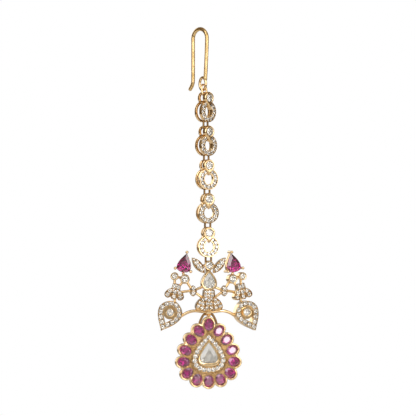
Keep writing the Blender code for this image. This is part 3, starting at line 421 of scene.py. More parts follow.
def inset(outline, depth):
    """The outline moved inward by a depth, outward when negative, with its corners kept."""
    points = np.array(outline)
    edges = np.roll(points, -1, 0) - points
    lengths = np.hypot(*edges.T)
    normals = np.stack([-edges[:, 1], edges[:, 0]], 1) / lengths[:, None]
    miters = normals + np.roll(normals, 1, 0)
    miters /= np.hypot(*miters.T)[:, None]
    stretch = np.maximum(np.sum(miters * normals, 1), MITER_LIMIT)
    moved = points - depth * miters / stretch[:, None]
    gaps = moved[:, None] - points[None]
    share = np.clip(np.sum(gaps * edges[None], 2) / lengths ** 2, 0, 1)
    away = gaps - share[:, :, None] * edges[None]
    nearest = np.hypot(away[:, :, 0], away[:, :, 1]).min(1)
    kept = np.nonzero(nearest > KEPT_SHARE * abs(depth))[0]
    if len(kept):
        for i in range(len(points)):
            steps = np.abs(kept - i)
            moved[i] = moved[kept[np.argmin(np.minimum(steps, len(points) - steps))]]
    return [(float(x), float(z)) for x, z in moved]


def mix(first, second, share):
    """An outline between two others with as many points."""
    return [(a[0] + share * (b[0] - a[0]), a[1] + share * (b[1] - a[1])) for a, b in zip(first, second)]


def raised(outline, height):
    return [(x, z + height) for x, z in outline]


def spread(outline, count):
    """Evenly spaced (x, z, outward angle) along a closed outline, from its first point."""
    closed = outline + outline[:1]
    lengths = [hypot(b[0] - a[0], b[1] - a[1]) for a, b in zip(closed, closed[1:])]
    step = sum(lengths) / count
    places = []
    travelled, reached = 0.0, 0.0
    for (a, b), length in zip(zip(closed, closed[1:]), lengths):
        while reached < travelled + length and len(places) < count:
            share = (reached - travelled) / length
            angle = atan2(-(b[1] - a[1]), b[0] - a[0])
            places.append((a[0] + share * (b[0] - a[0]), a[1] + share * (b[1] - a[1]), angle))
            reached += step
        travelled += length
    return places


def smooth(points, steps=8):
    """A smooth curve through points, as a longer list of points."""
    points = [Vector(point) for point in points]
    route = []
    for i in range(len(points) - 1):
        b, c = points[i], points[i + 1]
        a = points[max(i - 1, 0)]
        d = points[min(i + 2, len(points) - 1)]
        for k in range(steps):
            t = k / steps
            route.append(0.5 * (2 * b + (c - a) * t + (2 * a - 5 * b + 4 * c - d) * t ** 2
                                + (3 * b - a - 3 * c + d) * t ** 3))
    return route + [points[-1]]


def place(x, z, turn=0.0, y=0.0):
    return Matrix.Translation((x, y, z)) @ Matrix.Rotation(turn, 4, "Y")


def carried(matrix, x, z):
    """A point of the plane y = 0 after a matrix, as (x, z)."""
    point = matrix @ Vector((x, 0, z))
    return (point.x, point.z)


def add_object(name, data, location):
    result = bpy.data.objects.new(name, data)
    bpy.context.scene.collection.objects.link(result)
    result.location = location
    return result


def at_depth(outline, y):
    return [(x, y, z) for x, z in outline]


def stepped(outline, steps):
    """Sections of an outline from steps of (inset, depth)."""
    return [at_depth(inset(outline, margin), y) for margin, y in steps]


def turned(profile, sides):
    """Sections round the y axis from (radius, depth) pairs."""
    return [at_depth(circle(r, sides), y) if r else [(0.0, y, 0.0)] for r, y in profile]


# Materials: noise scales in features per metre, and the finishes of the gold pieces

TONE_SCALE = 420
TONE_STOPS = (0.3, 0.7)
POLISH_SCALE = 900
POLISH_DETAIL = 5.0
POLISH_STRETCH = (1, 1, 3)
POLISH_STOPS = (0.3, 0.75)
DENT_SCALE = 1500
DENT_DETAIL = 4.0
DENT_DEPTH = 0.02 * MM
CLOUD_SCALE = 700
CLOUD_DETAIL = 4.0
CLOUD_STOPS = (0.35, 0.65)
GEM_COAT_INDEX = 1.9
DIAMOND_INDEX = 2.2
RUBY_INDEX = 1.76
POLISH, PAINTED_RECESS_SHADE, FOIL, PAINTED_RUBY_REFLECTION, SHADED, WORN = range(6)


def surface(name, colour, metallic, roughness):
    result = bpy.data.materials.new(name)
    result.use_nodes = True
    shader = result.node_tree.nodes["Principled BSDF"]
    shader.inputs["Base Color"].default_value = (*colour, 1.0)
    shader.inputs["Metallic"].default_value = metallic
    shader.inputs["Roughness"].default_value = roughness
    return result, shader, result.node_tree


def noise(tree, scale, detail=3.0, stretch=(1, 1, 1)):
    """Object-space noise; a scale of 1000 gives features of about a millimetre."""
    nodes = tree.nodes
    coordinates = nodes.new("ShaderNodeTexCoord")
    mapping = nodes.new("ShaderNodeMapping")
    mapping.inputs["Scale"].default_value = stretch
    texture = nodes.new("ShaderNodeTexNoise")
    texture.inputs["Scale"].default_value = scale
    texture.inputs["Detail"].default_value = detail
    tree.links.new(coordinates.outputs["Object"], mapping.inputs["Vector"])
    tree.links.new(mapping.outputs["Vector"], texture.inputs["Vector"])
    return texture.outputs["Fac"]


def ramp(tree, value, stops):
    """Colours or greys over a value, from (place, colour) stops."""
    node = tree.nodes.new("ShaderNodeValToRGB")
    elements = node.color_ramp.elements
    stops = list(stops)
    while len(elements) < len(stops):
        elements.new(0.5)
    for element, (spot, colour) in zip(elements, stops):
        element.position = spot
        element.color = (*colour, 1.0)
    tree.links.new(value, node.inputs["Fac"])
    return node.outputs["Color"]


def grey(value):
    return (value, value, value)


def bump(tree, shader, value, strength, distance):
    node = tree.nodes.new("ShaderNodeBump")
    node.inputs["Strength"].default_value = strength
    node.inputs["Distance"].default_value = distance
    tree.links.new(value, node.inputs["Height"])
    tree.links.new(node.outputs["Normal"], shader.inputs["Normal"])


def gold(name, light, dark, smoothest, roughest, dents):
    """Polished gold: its tone and polish wander a little, and hairlines run through it."""
    result, shader, tree = surface(name, light, 1.0, smoothest)
    tone = ramp(tree, noise(tree, TONE_SCALE), zip(TONE_STOPS, (dark, light)))
    tree.links.new(tone, shader.inputs["Base Color"])
    hairlines = noise(tree, POLISH_SCALE, POLISH_DETAIL, POLISH_STRETCH)
    polish = ramp(tree, hairlines, zip(POLISH_STOPS, (grey(smoothest), grey(roughest))))
    tree.links.new(polish, shader.inputs["Roughness"])
    bump(tree, shader, noise(tree, DENT_SCALE, DENT_DETAIL), dents, DENT_DEPTH)
    return result


def gem(name, colour, index, transmission, cloud, gloss):
    """A clear cut stone with faint clouds in its colour; gloss strengthens its reflections."""
    result, shader, tree = surface(name, colour, 0.0, 0.0)
    shader.inputs["IOR"].default_value = index
    shader.inputs["Transmission Weight"].default_value = transmission
    shader.inputs["Coat Weight"].default_value = gloss
    shader.inputs["Coat Roughness"].default_value = 0.0
    shader.inputs["Coat IOR"].default_value = GEM_COAT_INDEX
    tone = ramp(tree, noise(tree, CLOUD_SCALE, CLOUD_DETAIL), zip(CLOUD_STOPS, (cloud, colour)))
    tree.links.new(tone, shader.inputs["Base Color"])
    return result


# Name, light tone, dark tone, smoothest, roughest, strength of the dents
GOLD = [gold("gold_polished", (0.91, 0.69, 0.41), (0.80, 0.56, 0.28), 0.08, 0.18, 0.12),
        # A darker gold for channels, webs and the tray floor: its dark tone is painted shade in those
        # hollows, its rougher polish is real.
        gold("gold_painted_recess_shade", (0.66, 0.42, 0.19), (0.42, 0.24, 0.09), 0.2, 0.4, 0.3),
        gold("setting_foil", (0.97, 0.93, 0.85), (0.88, 0.82, 0.72), 0.15, 0.3, 0.2),
        # A dark red for the walls beside the rubies: painted ruby reflection and shade, not a colour of the
        # gold.
        gold("gold_painted_ruby_reflection", (0.42, 0.05, 0.10), (0.24, 0.02, 0.05), 0.15, 0.3, 0.2),
        # A dark gold for the straps and the link jump rings: painted shade between the plates and behind
        # the drop.
        gold("gold_shaded", (0.34, 0.20, 0.08), (0.20, 0.11, 0.04), 0.3, 0.5, 0.3),
        gold("gold_worn", (0.90, 0.66, 0.33), (0.55, 0.36, 0.13), 0.12, 0.3, 0.7)]

# Name, colour, refractive index, clearness, cloud colour, gloss
DIAMOND = gem("diamond", (1.0, 0.96, 0.89), DIAMOND_INDEX, 0.86, (0.97, 0.91, 0.82), 0.0)
IVORY = gem("warm_diamond", (1.0, 0.99, 0.93), DIAMOND_INDEX, 0.7, (0.99, 0.95, 0.87), 0.0)
RUBY = gem("ruby", (0.52, 0.012, 0.23), RUBY_INDEX, 0.94, (0.32, 0.006, 0.13), 1.0)


# Pieces

class Piece:
    """A visible piece that grows solid by solid."""

    def __init__(self, name, materials):
        self.name = name
        self.materials = materials
        self.mesh = bmesh.new()

    def loft(self, sections, matrix=None, finish=POLISH, looped=False):
        """A closed skin through sections; finish is one number, or one for each stretch and cap."""
        matrix = matrix or Matrix.Identity(4)
        rows = [[self.mesh.verts.new(matrix @ Vector(point)) for point in section] for section in sections]
        pairs = list(zip(rows, rows[1:]))
        if looped:
            pairs.append((rows[-1], rows[0]))
        faces = []
        finishes = finish if isinstance(finish, (list, tuple)) else [finish] * (len(pairs) + 2)
        for (low, high), number in zip(pairs, finishes):
            count = max(len(low), len(high))
            for i in range(count):
                j = (i + 1) % count
                if len(high) == 1:
                    corners = (low[i], low[j], high[0])
                elif len(low) == 1:
                    corners = (low[0], high[j], high[i])
                else:
                    corners = (low[i], low[j], high[j], high[i])
                faces.append(self.face(corners, number))
        if not looped:
            for row, number in ((rows[0], finishes[0]), (rows[-1], finishes[-1])):
                if len(row) > 1:
                    faces.append(self.face(row, number))
        bmesh.ops.recalc_face_normals(self.mesh, faces=faces)
        return faces

    def face(self, corners, number):
        face = self.mesh.faces.new(corners)
        face.material_index = number
        return face

    def lathe(self, profile, matrix=None, sides=TUBE_SIDES):
        """A solid turned round the y axis, from (radius, y) pairs."""
        self.loft(turned(profile, sides), matrix)

    def tube(self, route, radius, matrix=None, looped=False, blunt=False, sides=TUBE_SIDES, finish=POLISH):
        """A round wire along a route; its ends are domed unless they are blunt."""
        sections = []
        last = len(route) - 1
        for i, point in enumerate(route):
            before = route[i - 1] if looped or i > 0 else point
            after = route[(i + 1) % len(route)] if looped or i < last else point
            along = (Vector(after) - Vector(before)).normalized()
            across = Vector((0, 1, 0)).cross(along).normalized()
            up = along.cross(across)
            ends = {0: -1, last: 1}
            caps = [(0.0, 1.0)]
            if not looped and not blunt and i in ends:
                caps = [(ends[i] * sin(a), cos(a)) for a in DOME_ANGLES]
                if i == 0:
                    caps.reverse()
            for reach, share in caps:
                centre = Vector(point) + along * reach * radius
                ring = [2 * pi * k / sides for k in range(sides)]
                sections.append([centre + (across * cos(a) + up * sin(a)) * radius * share for a in ring])
        self.loft(sections, matrix, finish, looped)

    def bar(self, start, end, radius, depth, matrix=None):
        self.tube([(start[0], depth, start[1]), (end[0], depth, end[1])], radius, matrix, blunt=True)

    def bead(self, x, z, y, radius=BEAD_RADIUS, matrix=None):
        """A small raised bead that holds stones."""
        seat = (matrix or Matrix.Identity(4)) @ place(x, z, 0.0, y)
        profile = [(r * radius, depth * radius) for r, depth in BEAD_PROFILE]
        profile.append((BEAD_FOOT * radius, BEAD_SINK))
        self.lathe(profile, seat, 8)

    def plate(self, outline, front, back, matrix=None, hole=None, rim=RIM):
        """A pave plate: bevelled rims round a sunk channel whose darker gold is painted shade, solid
        behind, with or without a hole.
        """
        steps = ((EDGE, back), (0, back - EDGE), (0, front + EDGE), (EDGE, front), (rim, front),
                 (rim + EDGE / 2, front + EDGE), (rim + EDGE / 2, front + CHANNEL))
        sections = stepped(outline, steps)
        if hole:
            sections += stepped(hole, [(-margin, y) for margin, y in reversed(steps)])
            self.loft(sections, matrix, [POLISH] * 5 + [PAINTED_RECESS_SHADE] * 3 + [POLISH] * 6, looped=True)
        else:
            self.loft(sections, matrix, [POLISH] * 5 + [PAINTED_RECESS_SHADE] * 2)

    def bezel(self, outer, inner, face, floor, back, matrix=None, shoulder=0.0):
        """A collar round a stone, with a rounded lip and a bright seat below the stone."""
        sections = [at_depth(inset(outer, EDGE), back), at_depth(outer, back - EDGE)]
        for share, edges, rise in BEZEL_LIP:
            sections.append(at_depth(mix(outer, inner, share), face + edges * EDGE + rise * shoulder))
        sections.append(at_depth(inner, floor))
        self.loft(sections, matrix, [POLISH] * 8 + [FOIL] * 2)

    def finish(self, location=(0, 0, 0), yaw=0.0, matrix=None, body="main", slot="gold", nodes=(),
               flat=False):
        """Make the object, put it in place and let it ride on its body."""
        bmesh.ops.remove_doubles(self.mesh, verts=self.mesh.verts, dist=MERGE_DISTANCE)
        bmesh.ops.dissolve_degenerate(self.mesh, edges=self.mesh.edges, dist=DISSOLVE_DISTANCE)
        data = bpy.data.meshes.new(self.name)
        self.mesh.to_mesh(data)
        self.mesh.free()
        for material in self.materials:
            data.materials.append(material)
        if not flat:
            data.shade_smooth()
            data.set_sharp_from_angle(angle=SHARP_ANGLE)
        matrix = matrix or Matrix.Translation(location) @ Matrix.Rotation(yaw, 4, "Z")
        data.transform(matrix.to_3x3().to_4x4())
        result = add_object(self.name, data, matrix.translation)
        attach(result, body)
        if nodes:
            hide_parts(*nodes)
        return result


class Stones(Piece):
    """Cut stones with flat facets."""

    def __init__(self, name, material):
        super().__init__(name, [material])

    def brilliant(self, outline, size, cut, matrix=None):
        """A brilliant cut with its girdle at y = 0, from an outline of 16 points or a multiple."""
        matrix = matrix or Matrix.Identity(4)
        crown, pavilion, table = cut["crown"] * size, cut["pavilion"] * size, cut["table"]
        step = len(outline) // 16
        thick = GIRDLE_SHARE * pavilion

        def ring(indices, share, y):
            return [self.mesh.verts.new(matrix @ Vector((outline[i][0] * share, y, outline[i][1] * share)))
                    for i in indices]

        mains = [2 * step * k for k in range(8)]
        between = [2 * step * k + step for k in range(8)]
        top = ring(mains, table, -crown)
        waist = ring(between, (1 + STAR_SHARE * table) / STAR_DIVISOR, -WAIST_SHARE * crown)
        high = ring(range(len(outline)), 1.0, -thick)
        low = ring(range(len(outline)), 1.0, thick)
        under = ring(between, LOWER_REACH, LOWER_DEPTH * pavilion)
        culet = ring([0], 0.0, pavilion)[0]
        faces = [self.face(top, 0)]
        count = len(outline)
        for k in range(8):
            after = (k + 1) % 8
            faces.append(self.face((top[k], top[after], waist[k]), 0))
            faces.append(self.face((top[k], waist[k - 1], high[mains[k]], waist[k]), 0))
            faces.append(self.face((culet, under[k - 1], low[mains[k]], under[k]), 0))
            for half in range(2):
                start = mains[k] + half * step
                for i in range(start, start + step):
                    j = (i + 1) % count
                    faces.append(self.face((waist[k], high[i], high[j]), 0))
                    faces.append(self.face((under[k], low[i], low[j]), 0))
        for i in range(count):
            faces.append(self.face((high[i], high[(i + 1) % count], low[(i + 1) % count], low[i]), 0))
        bmesh.ops.recalc_face_normals(self.mesh, faces=faces)

    def pave(self, x, z, front, matrix, radius):
        """One pave stone behind a plate's front face, turned a little by its place."""
        turn = PAVE_TURN * sin(PAVE_TURN_WAVE[0] * x + PAVE_TURN_WAVE[1] * z)
        spot = (matrix or Matrix.Identity(4)) @ place(x, z, turn, front + PAVE_SETBACK)
        self.brilliant(circle(radius, 16), radius, PAVE_CUT, spot)

    def finish(self, **where):
        where.setdefault("slot", "diamond")
        return super().finish(flat=True, **where)


def pave_row(metal, stones, spots, front, matrix=None, radius=PAVE_RADIUS, closed=False):
    """Stones along a row of (x, z), with a bead on each side of every gap between them."""
    for x, z in spots:
        stones.pave(x, z, front, matrix, radius)
    pairs = list(zip(spots, spots[1:]))
    if closed:
        pairs.append((spots[-1], spots[0]))
    for a, b in pairs:
        along = Vector((b[0] - a[0], b[1] - a[1]))
        middle = Vector(a) + along / 2
        side = Vector((-along.y, along.x)).normalized() * radius * ROW_BEAD_REACH
        for spot in (middle + side, middle - side):
            metal.bead(spot.x, spot.y, front, matrix=matrix)


def pave_cluster(metal, stones, spots, front, matrix, radius):
    """Separate stones, each held by four beads."""
    for x, z in spots:
        stones.pave(x, z, front, matrix, radius)
        for k in range(4):
            angle = pi / 4 + k * pi / 2
            reach = CLUSTER_BEAD_REACH * radius
            metal.bead(x + reach * cos(angle), z + reach * sin(angle), front,
                       CLUSTER_BEAD_SHARE * BEAD_RADIUS, matrix)


# Hook and jump rings

def eye_height_in_hook():
    return HOOK_WIRE_RADIUS - HOOK_BEND_RADIUS - HOOK_LEG_HEIGHT - EYE_HEIGHT / 2


def eye_reach():
    return HOOK_BEND_RADIUS - EYE_SETBACK - EYE_WIDTH / 4


def chain_reach():
    return eye_reach() + CHAIN_SHARE * EYE_WIDTH


def top_post_height():
    return eye_height_in_hook() - EYE_HEIGHT / 2 - RING_GAP - POST_RADIUS


def build_hook():
    """One wire: a free leg that flares, a narrow bend, a front leg and a closed eye."""
    centre = HOOK_WIRE_RADIUS - HOOK_BEND_RADIUS
    foot = (-HOOK_BEND_RADIUS, centre - HOOK_FREE_LEG_HEIGHT)
    points = []
    for step in range(HOOK_FLARE_STEPS, 0, -1):
        share = step / HOOK_FLARE_STEPS
        reach = share * HOOK_FLARE_LENGTH
        flare = reach * sin(HOOK_FLARE_ANGLE) * share
        points.append((foot[0] - flare, 0, foot[1] - reach * cos(HOOK_FLARE_ANGLE)))
    leg_foot = foot[1] + HOOK_WIRE_RADIUS
    points += [(foot[0], 0, leg_foot + (centre - leg_foot) * i / HOOK_STEPS) for i in range(HOOK_STEPS)]
    for i in range(HOOK_STEPS):
        angle = pi * (1 - i / HOOK_STEPS)
        points.append((HOOK_BEND_RADIUS * cos(angle), 0, centre + HOOK_BEND_RADIUS * sin(angle)))
    eye = (eye_reach(), eye_height_in_hook())
    width, height = EYE_WIDTH - 2 * EYE_WIRE_RADIUS, EYE_HEIGHT - 2 * EYE_WIRE_RADIUS
    end = (eye[0] + HOOK_END[0] * width, eye[1] + HOOK_END[1] * height)
    for i in range(HOOK_STEPS + 1):
        share = i / HOOK_STEPS
        x = HOOK_BEND_RADIUS + (end[0] - HOOK_BEND_RADIUS) * share ** HOOK_LEG_BEND
        points.append((x, 0, centre + (end[1] - centre) * share))
    metal = Piece("hook_wire", GOLD)
    metal.tube(smooth(points, 3), HOOK_WIRE_RADIUS, sides=32, finish=WORN)
    metal.tube([(eye[0] + x, 0, eye[1] + z) for x, z in oval(width, height)], EYE_WIRE_RADIUS, looped=True)
    metal.finish(yaw=LINK_YAWS[0] - pi / 2, nodes=["hook"])


def long_ring(name, width, height, finish=POLISH, **where):
    """A closed jump ring with straight sides."""
    straight = (height - width) / 2
    bend = circle(width / 2 - RING_WIRE_RADIUS, GEM_SIDES)
    path = [(x, 0, z + (straight if z >= 0 else -straight)) for x, z in bend]
    metal = Piece(name, GOLD)
    metal.tube(path, RING_WIRE_RADIUS, looped=True, finish=finish)
    metal.finish(**where)


def build_hook_ring():
    forward = Vector((sin(LINK_YAWS[0]), -cos(LINK_YAWS[0]), 0))
    top = eye_height_in_hook() + RING_TOP_SHARE * EYE_HEIGHT
    foot = top_post_height() - POST_RADIUS - RING_GAP - RING_WIRE_RADIUS
    top_reach = eye_reach() + RING_REACH_SHARE * EYE_WIDTH
    lean = atan2(chain_reach() - top_reach, top - foot)
    spot = forward * (top_reach + chain_reach()) / 2 + Vector((0, 0, (top + foot) / 2))
    turn = Matrix.Rotation(LINK_YAWS[0], 4, "Z") @ Matrix.Rotation(-lean, 4, "X")
    long_ring("hook_jump_ring", HOOK_RING_WIDTH, top - foot + 2 * RING_WIRE_RADIUS,
              matrix=Matrix.Translation(spot) @ turn, nodes=["hook_ring"])


# Links

def link_pitch():
    return LINK_BEZEL_RADIUS + LINK_RING_DROP + LINK_RING_RADIUS + LINK_SPACING


def top_post():
    return LINK_BEZEL_RADIUS - POST_RADIUS


def bottom_post():
    return -LINK_RING_DROP - LINK_RING_RADIUS + POST_RADIUS


def centre_post():
    return TOP_BEZEL_RADIUS - POST_RADIUS


def link_places():
    """The middle of each link's bezel, and last the centre piece's top bezel."""
    head = Vector((sin(LINK_YAWS[0]) * chain_reach(), -cos(LINK_YAWS[0]) * chain_reach(),
                   top_post_height() - top_post()))
    count = len(LINK_YAWS)
    places = [head + Vector((CHAIN_LEAN * i / count, 0, -i * link_pitch())) for i in range(count + 1)]
    places[-1].z += LINK_BEZEL_RADIUS - TOP_BEZEL_RADIUS
    return places


def stone_rise(radius):
    return STONE_RISE * radius


def seat_floor(face, radius):
    """The depth of the seat under a round stone, behind its bezel's face."""
    return face + stone_rise(radius) + ROUND_CUT["pavilion"] * radius + CULET_GAP


def gem_piece(name, outline, size, cut, material, **where):
    stones = Stones(name, material)
    stones.brilliant(outline, size, cut)
    stones.finish(**where)


def round_gem(name, radius, **where):
    gem_piece(name, circle(radius, ROUND_GEM_SIDES), radius, ROUND_CUT, DIAMOND, **where)


def round_collar(metal, radius, stone_radius, face, back, matrix=None):
    """A round bezel whose rim lies at a depth, the face."""
    hole = circle(stone_radius + STONE_GAP)
    metal.bezel(circle(radius), hole, face, seat_floor(face, stone_radius), back, matrix)


def gallery_ring(metal, radius, matrix=None):
    """The rounded wire ring behind a link's front."""
    front, back = GAP_DEPTH / 2, GAP_DEPTH / 2 + BACK_PLATE
    inner = radius - LINK_BACK_WIRE
    corner = GALLERY_CORNER
    steps = ((0, back - corner), (0.3 * corner, back - 0.3 * corner), (corner, back))
    section = [(radius - depth, y) for depth, y in steps]
    section += [(inner + depth, y) for depth, y in reversed(steps)]
    section += [(inner + depth, front + back - y) for depth, y in steps]
    section += [(radius - depth, front + back - y) for depth, y in reversed(steps)]
    metal.loft(turned(section, FINE), matrix, looped=True)


def post(metal, x, z):
    """A post between a front plate and what lies behind the gap."""
    reach = GAP_DEPTH / 2 + SEAT_OVERLAP
    metal.lathe([(POST_RADIUS, -reach), (POST_RADIUS, reach)], place(x, z))


def build_link(index, spot, yaw):
    number = index + 1
    metal = Piece(f"link_{number}_metal", GOLD)
    stones = Stones(f"link_{number}_pave", DIAMOND)
    plate_back = -GAP_DEPTH / 2
    ring_place = place(0, -LINK_RING_DROP)
    metal.plate(circle(LINK_RING_RADIUS), -FACE_DEPTH, plate_back, ring_place,
                hole=oval(LINK_HOLE_WIDTH, LINK_HOLE_HEIGHT))
    mean = (LINK_RING_RADIUS + (LINK_HOLE_WIDTH + LINK_HOLE_HEIGHT) / 4) / 2
    angles = [LINK_PAVE_ARC * (i / (LINK_PAVE_COUNT - 1) - 0.5) for i in range(LINK_PAVE_COUNT)]
    pave_row(metal, stones, [(mean * sin(a), -mean * cos(a)) for a in angles], -FACE_DEPTH, ring_place)
    face = -FACE_DEPTH - BEZEL_RAISE
    collar = pointed_circle(LINK_BEZEL_RADIUS, LINK_BEZEL_POINT)
    hole = even(circle(LINK_STONE_RADIUS + STONE_GAP))
    floor = seat_floor(face, LINK_STONE_RADIUS)
    metal.bezel(collar, hole, face, floor, plate_back - SEAT_OVERLAP, shoulder=LINK_BEZEL_SHOULDER)
    gallery_ring(metal, LINK_RING_RADIUS, ring_place)
    gallery_ring(metal, LINK_BEZEL_RADIUS)
    fall = (LINK_RING_DROP ** 2 + LINK_BEZEL_RADIUS ** 2 - LINK_RING_RADIUS ** 2) / (2 * LINK_RING_DROP)
    side = (LINK_BEZEL_RADIUS ** 2 - fall ** 2) ** 0.5
    for x, z in ((0, top_post()), (0, bottom_post()), (side, -fall), (-side, -fall)):
        post(metal, x, z)
    where = {"location": spot, "yaw": yaw}
    metal.finish(nodes=[f"link_{number}"], **where)
    stones.finish(**where)
    girdle = face + stone_rise(LINK_STONE_RADIUS)
    round_gem(f"link_{number}_stone", LINK_STONE_RADIUS, nodes=[f"link_stone_{number}"],
              matrix=Matrix.Translation(spot) @ Matrix.Rotation(yaw, 4, "Z") @ place(0, 0, 0, girdle))


def build_chain():
    places = link_places()
    yaws = LINK_YAWS + [0.0]
    for i, yaw in enumerate(LINK_YAWS):
        build_link(i, places[i], yaw)
        last = i == len(LINK_YAWS) - 1
        upper = places[i].z + bottom_post()
        lower = places[i + 1].z + (centre_post() if last else top_post())
        height = upper - lower + 2 * (POST_RADIUS + RING_GAP + 2 * RING_WIRE_RADIUS)
        share = (places[i].z - (upper + lower) / 2) / (places[i].z - places[i + 1].z)
        spot = places[i].lerp(places[i + 1], share)
        spot.z = (upper + lower) / 2
        # The jump rings take the dark gold of painted shade.
        long_ring(f"link_jump_ring_{i + 1}", LINK_RING_WIDTH, height, SHADED, location=spot,
                  yaw=(yaw + yaws[i + 1]) / 2, nodes=[f"link_ring_{i + 1}"])


# Centre piece

def pear_outline(margin):
    return nested_tear(PEAR_WIDTH, PEAR_LENGTH, PEAR_SHAPE, margin)


def pear_height():
    return -TOP_BEZEL_RADIUS + SEAT_OVERLAP - pear_outline(BEZEL_WALL)[0][1]


def lotus_height():
    return pear_height() + min(z for _, z in pear_outline(BEZEL_WALL)) + SEAT_OVERLAP


def hinge_height():
    return lotus_height() - LOTUS_HEIGHT - HINGE_DROP


def ruby_seat():
    shift = tear_tip(RUBY_LENGTH, RUBY_SHAPE) - RUBY_LENGTH / 2
    return place(*RUBY_PLACE, RUBY_TILT) @ place(0, -shift)


def wing_matrix(side):
    right = Matrix.Translation((FOLD_OFFSET, 0, 0)) @ Matrix.Rotation(FOLD_ANGLE, 4, "Z")
    return Matrix.Diagonal((side, 1, 1, 1)) @ right


def lotus(metal, stones, width, height, block_stones, petal_stones, radii, matrix):
    """A pave block over three pave petals; the stones lie at shares across and down of each."""
    block_width, block_height = LOTUS_BLOCK[0] * width, LOTUS_BLOCK[1] * height
    block = rounded_block(block_width / 2, LOTUS_BLOCK_FOOT * block_width, block_height)
    metal.plate(block, -FACE_DEPTH, BLOCK_BACK, matrix, rim=THINNEST_RIM)
    petal_width, petal_length = LOTUS_PETAL[0] * width, LOTUS_PETAL[1] * height
    outline = tear(petal_width, petal_length, PETAL_SHAPE)
    spots = [(across * petal_width, -down * petal_length) for across, down in petal_stones]
    for side in (-1, 1, 0):
        seat = matrix @ place(side * LOTUS_PETAL_SHIFT * width, -LOTUS_PETAL_TOP * height,
                              -side * LOTUS_PETAL_ANGLE)
        centre = seat @ place(0, -tear_tip(petal_length, PETAL_SHAPE))
        front = -FACE_DEPTH if side else -FACE_DEPTH - LOTUS_PETAL_RAISE
        back = SIDE_PETAL_BACK if side else LOTUS_PETAL_THICKNESS - FACE_DEPTH
        metal.plate(outline, front, back, centre, rim=THINNEST_RIM)
        pave_cluster(metal, stones, spots, front, seat, radii[1])
    spots = [(across * block_width, -down * block_height) for across, down in block_stones]
    pave_cluster(metal, stones, spots, -FACE_DEPTH, matrix, radii[0])


def claw(metal, x, z, matrix):
    """A claw with a round head, standing beside a stone."""
    ball = PRONG_BALL_RADIUS
    neck = FACE_DEPTH + CLAW_NECK * ball
    profile = [(CLAW_FOOT_RADIUS, CLAW_BACK), (CLAW_WAIST_RADIUS, 0), (PRONG_RADIUS, -FACE_DEPTH),
               (PRONG_RADIUS, -neck)]
    profile += [(share * ball, -neck - rise * ball) for share, rise in CLAW_HEAD]
    metal.lathe(profile, matrix @ place(x, z))


def ruby_mount(metal):
    """The open gallery and three claws of a wing's pear ruby."""
    seat = ruby_seat()
    rim = -FACE_DEPTH + GALLERY_SETBACK
    outer = tear(RUBY_WIDTH, RUBY_LENGTH, RUBY_SHAPE)
    inner = nested_tear(RUBY_WIDTH, RUBY_LENGTH, RUBY_SHAPE, -GALLERY_WALL)
    back = GALLERY_BACK
    band = (back - rim) / 3
    steps = ((EDGE, rim), (0, rim + EDGE), (0, rim + band), (GALLERY_GROOVE, rim + band + EDGE),
             (GALLERY_GROOVE, back - band), (0, back - band + EDGE), (0, back - EDGE), (EDGE, back))
    sections = stepped(outer, steps) + [at_depth(inner, back), at_depth(inner, rim)]
    metal.loft(sections, seat, looped=True)
    reach = PRONG_RADIUS + STONE_GAP
    claw(metal, 0, tear_tip(RUBY_LENGTH, RUBY_SHAPE) + reach, seat)
    ring = nested_tear(RUBY_WIDTH, RUBY_LENGTH, RUBY_SHAPE, reach)
    shoulder = raw_tear(RUBY_WIDTH + 2 * reach, RUBY_LENGTH + 2 * reach, RUBY_SHAPE, 16)[6]
    near = min(ring, key=lambda p: hypot(p[0] - shoulder[0], p[1] - shoulder[1]))
    for side in (-1, 1):
        claw(metal, side * near[0], near[1], seat)


def tail(metal, stones):
    """A paisley tail: a pave band round an open window with a small bezel."""
    seat = place(*TAIL_PLACE, TAIL_TURN)
    window_width = TAIL_WIDTH - 2 * TAIL_BAND
    metal.plate(tear(TAIL_WIDTH, TAIL_LENGTH, TAIL_SHAPE), -FACE_DEPTH, BACK_DEPTH, seat,
                hole=tear(window_width, TAIL_WINDOW_LENGTH, TAIL_SHAPE))
    path = tear(TAIL_WIDTH - TAIL_BAND, (TAIL_LENGTH + TAIL_WINDOW_LENGTH) / 2, TAIL_SHAPE)
    spots = [(x, z) for x, z, _ in spread(path, TAIL_PAVE_COUNT)]
    pave_row(metal, stones, spots, -FACE_DEPTH, seat, LARGE_PAVE_RADIUS, closed=True)
    front, back = -FACE_DEPTH + WINDOW_SETBACK, BLOCK_BACK
    outer, inner = window_width / 2 + SEAT_OVERLAP, TAIL_STONE_RADIUS + 2 * STONE_GAP
    ring = ((outer, front), (outer, back), (inner, back), (inner, front))
    metal.loft(turned(ring, FINE), seat, looped=True)
    face = -FACE_DEPTH - TAIL_BEZEL_RAISE
    round_collar(metal, TAIL_BEZEL_RADIUS, TAIL_STONE_RADIUS, face, CLAW_BACK, seat)


def lotus_point(across, down):
    """A point of a wing's lotus, at shares of its width and height."""
    seat = place(*WING_LOTUS_PLACE, WING_LOTUS_TILT)
    return carried(seat, across * WING_LOTUS_WIDTH, -down * WING_LOTUS_HEIGHT)


def tail_top():
    foot = tear_tip(TAIL_LENGTH, TAIL_SHAPE) - TAIL_LENGTH
    return carried(place(*TAIL_PLACE, TAIL_TURN), 0, foot + TAIL_BAND / 2)


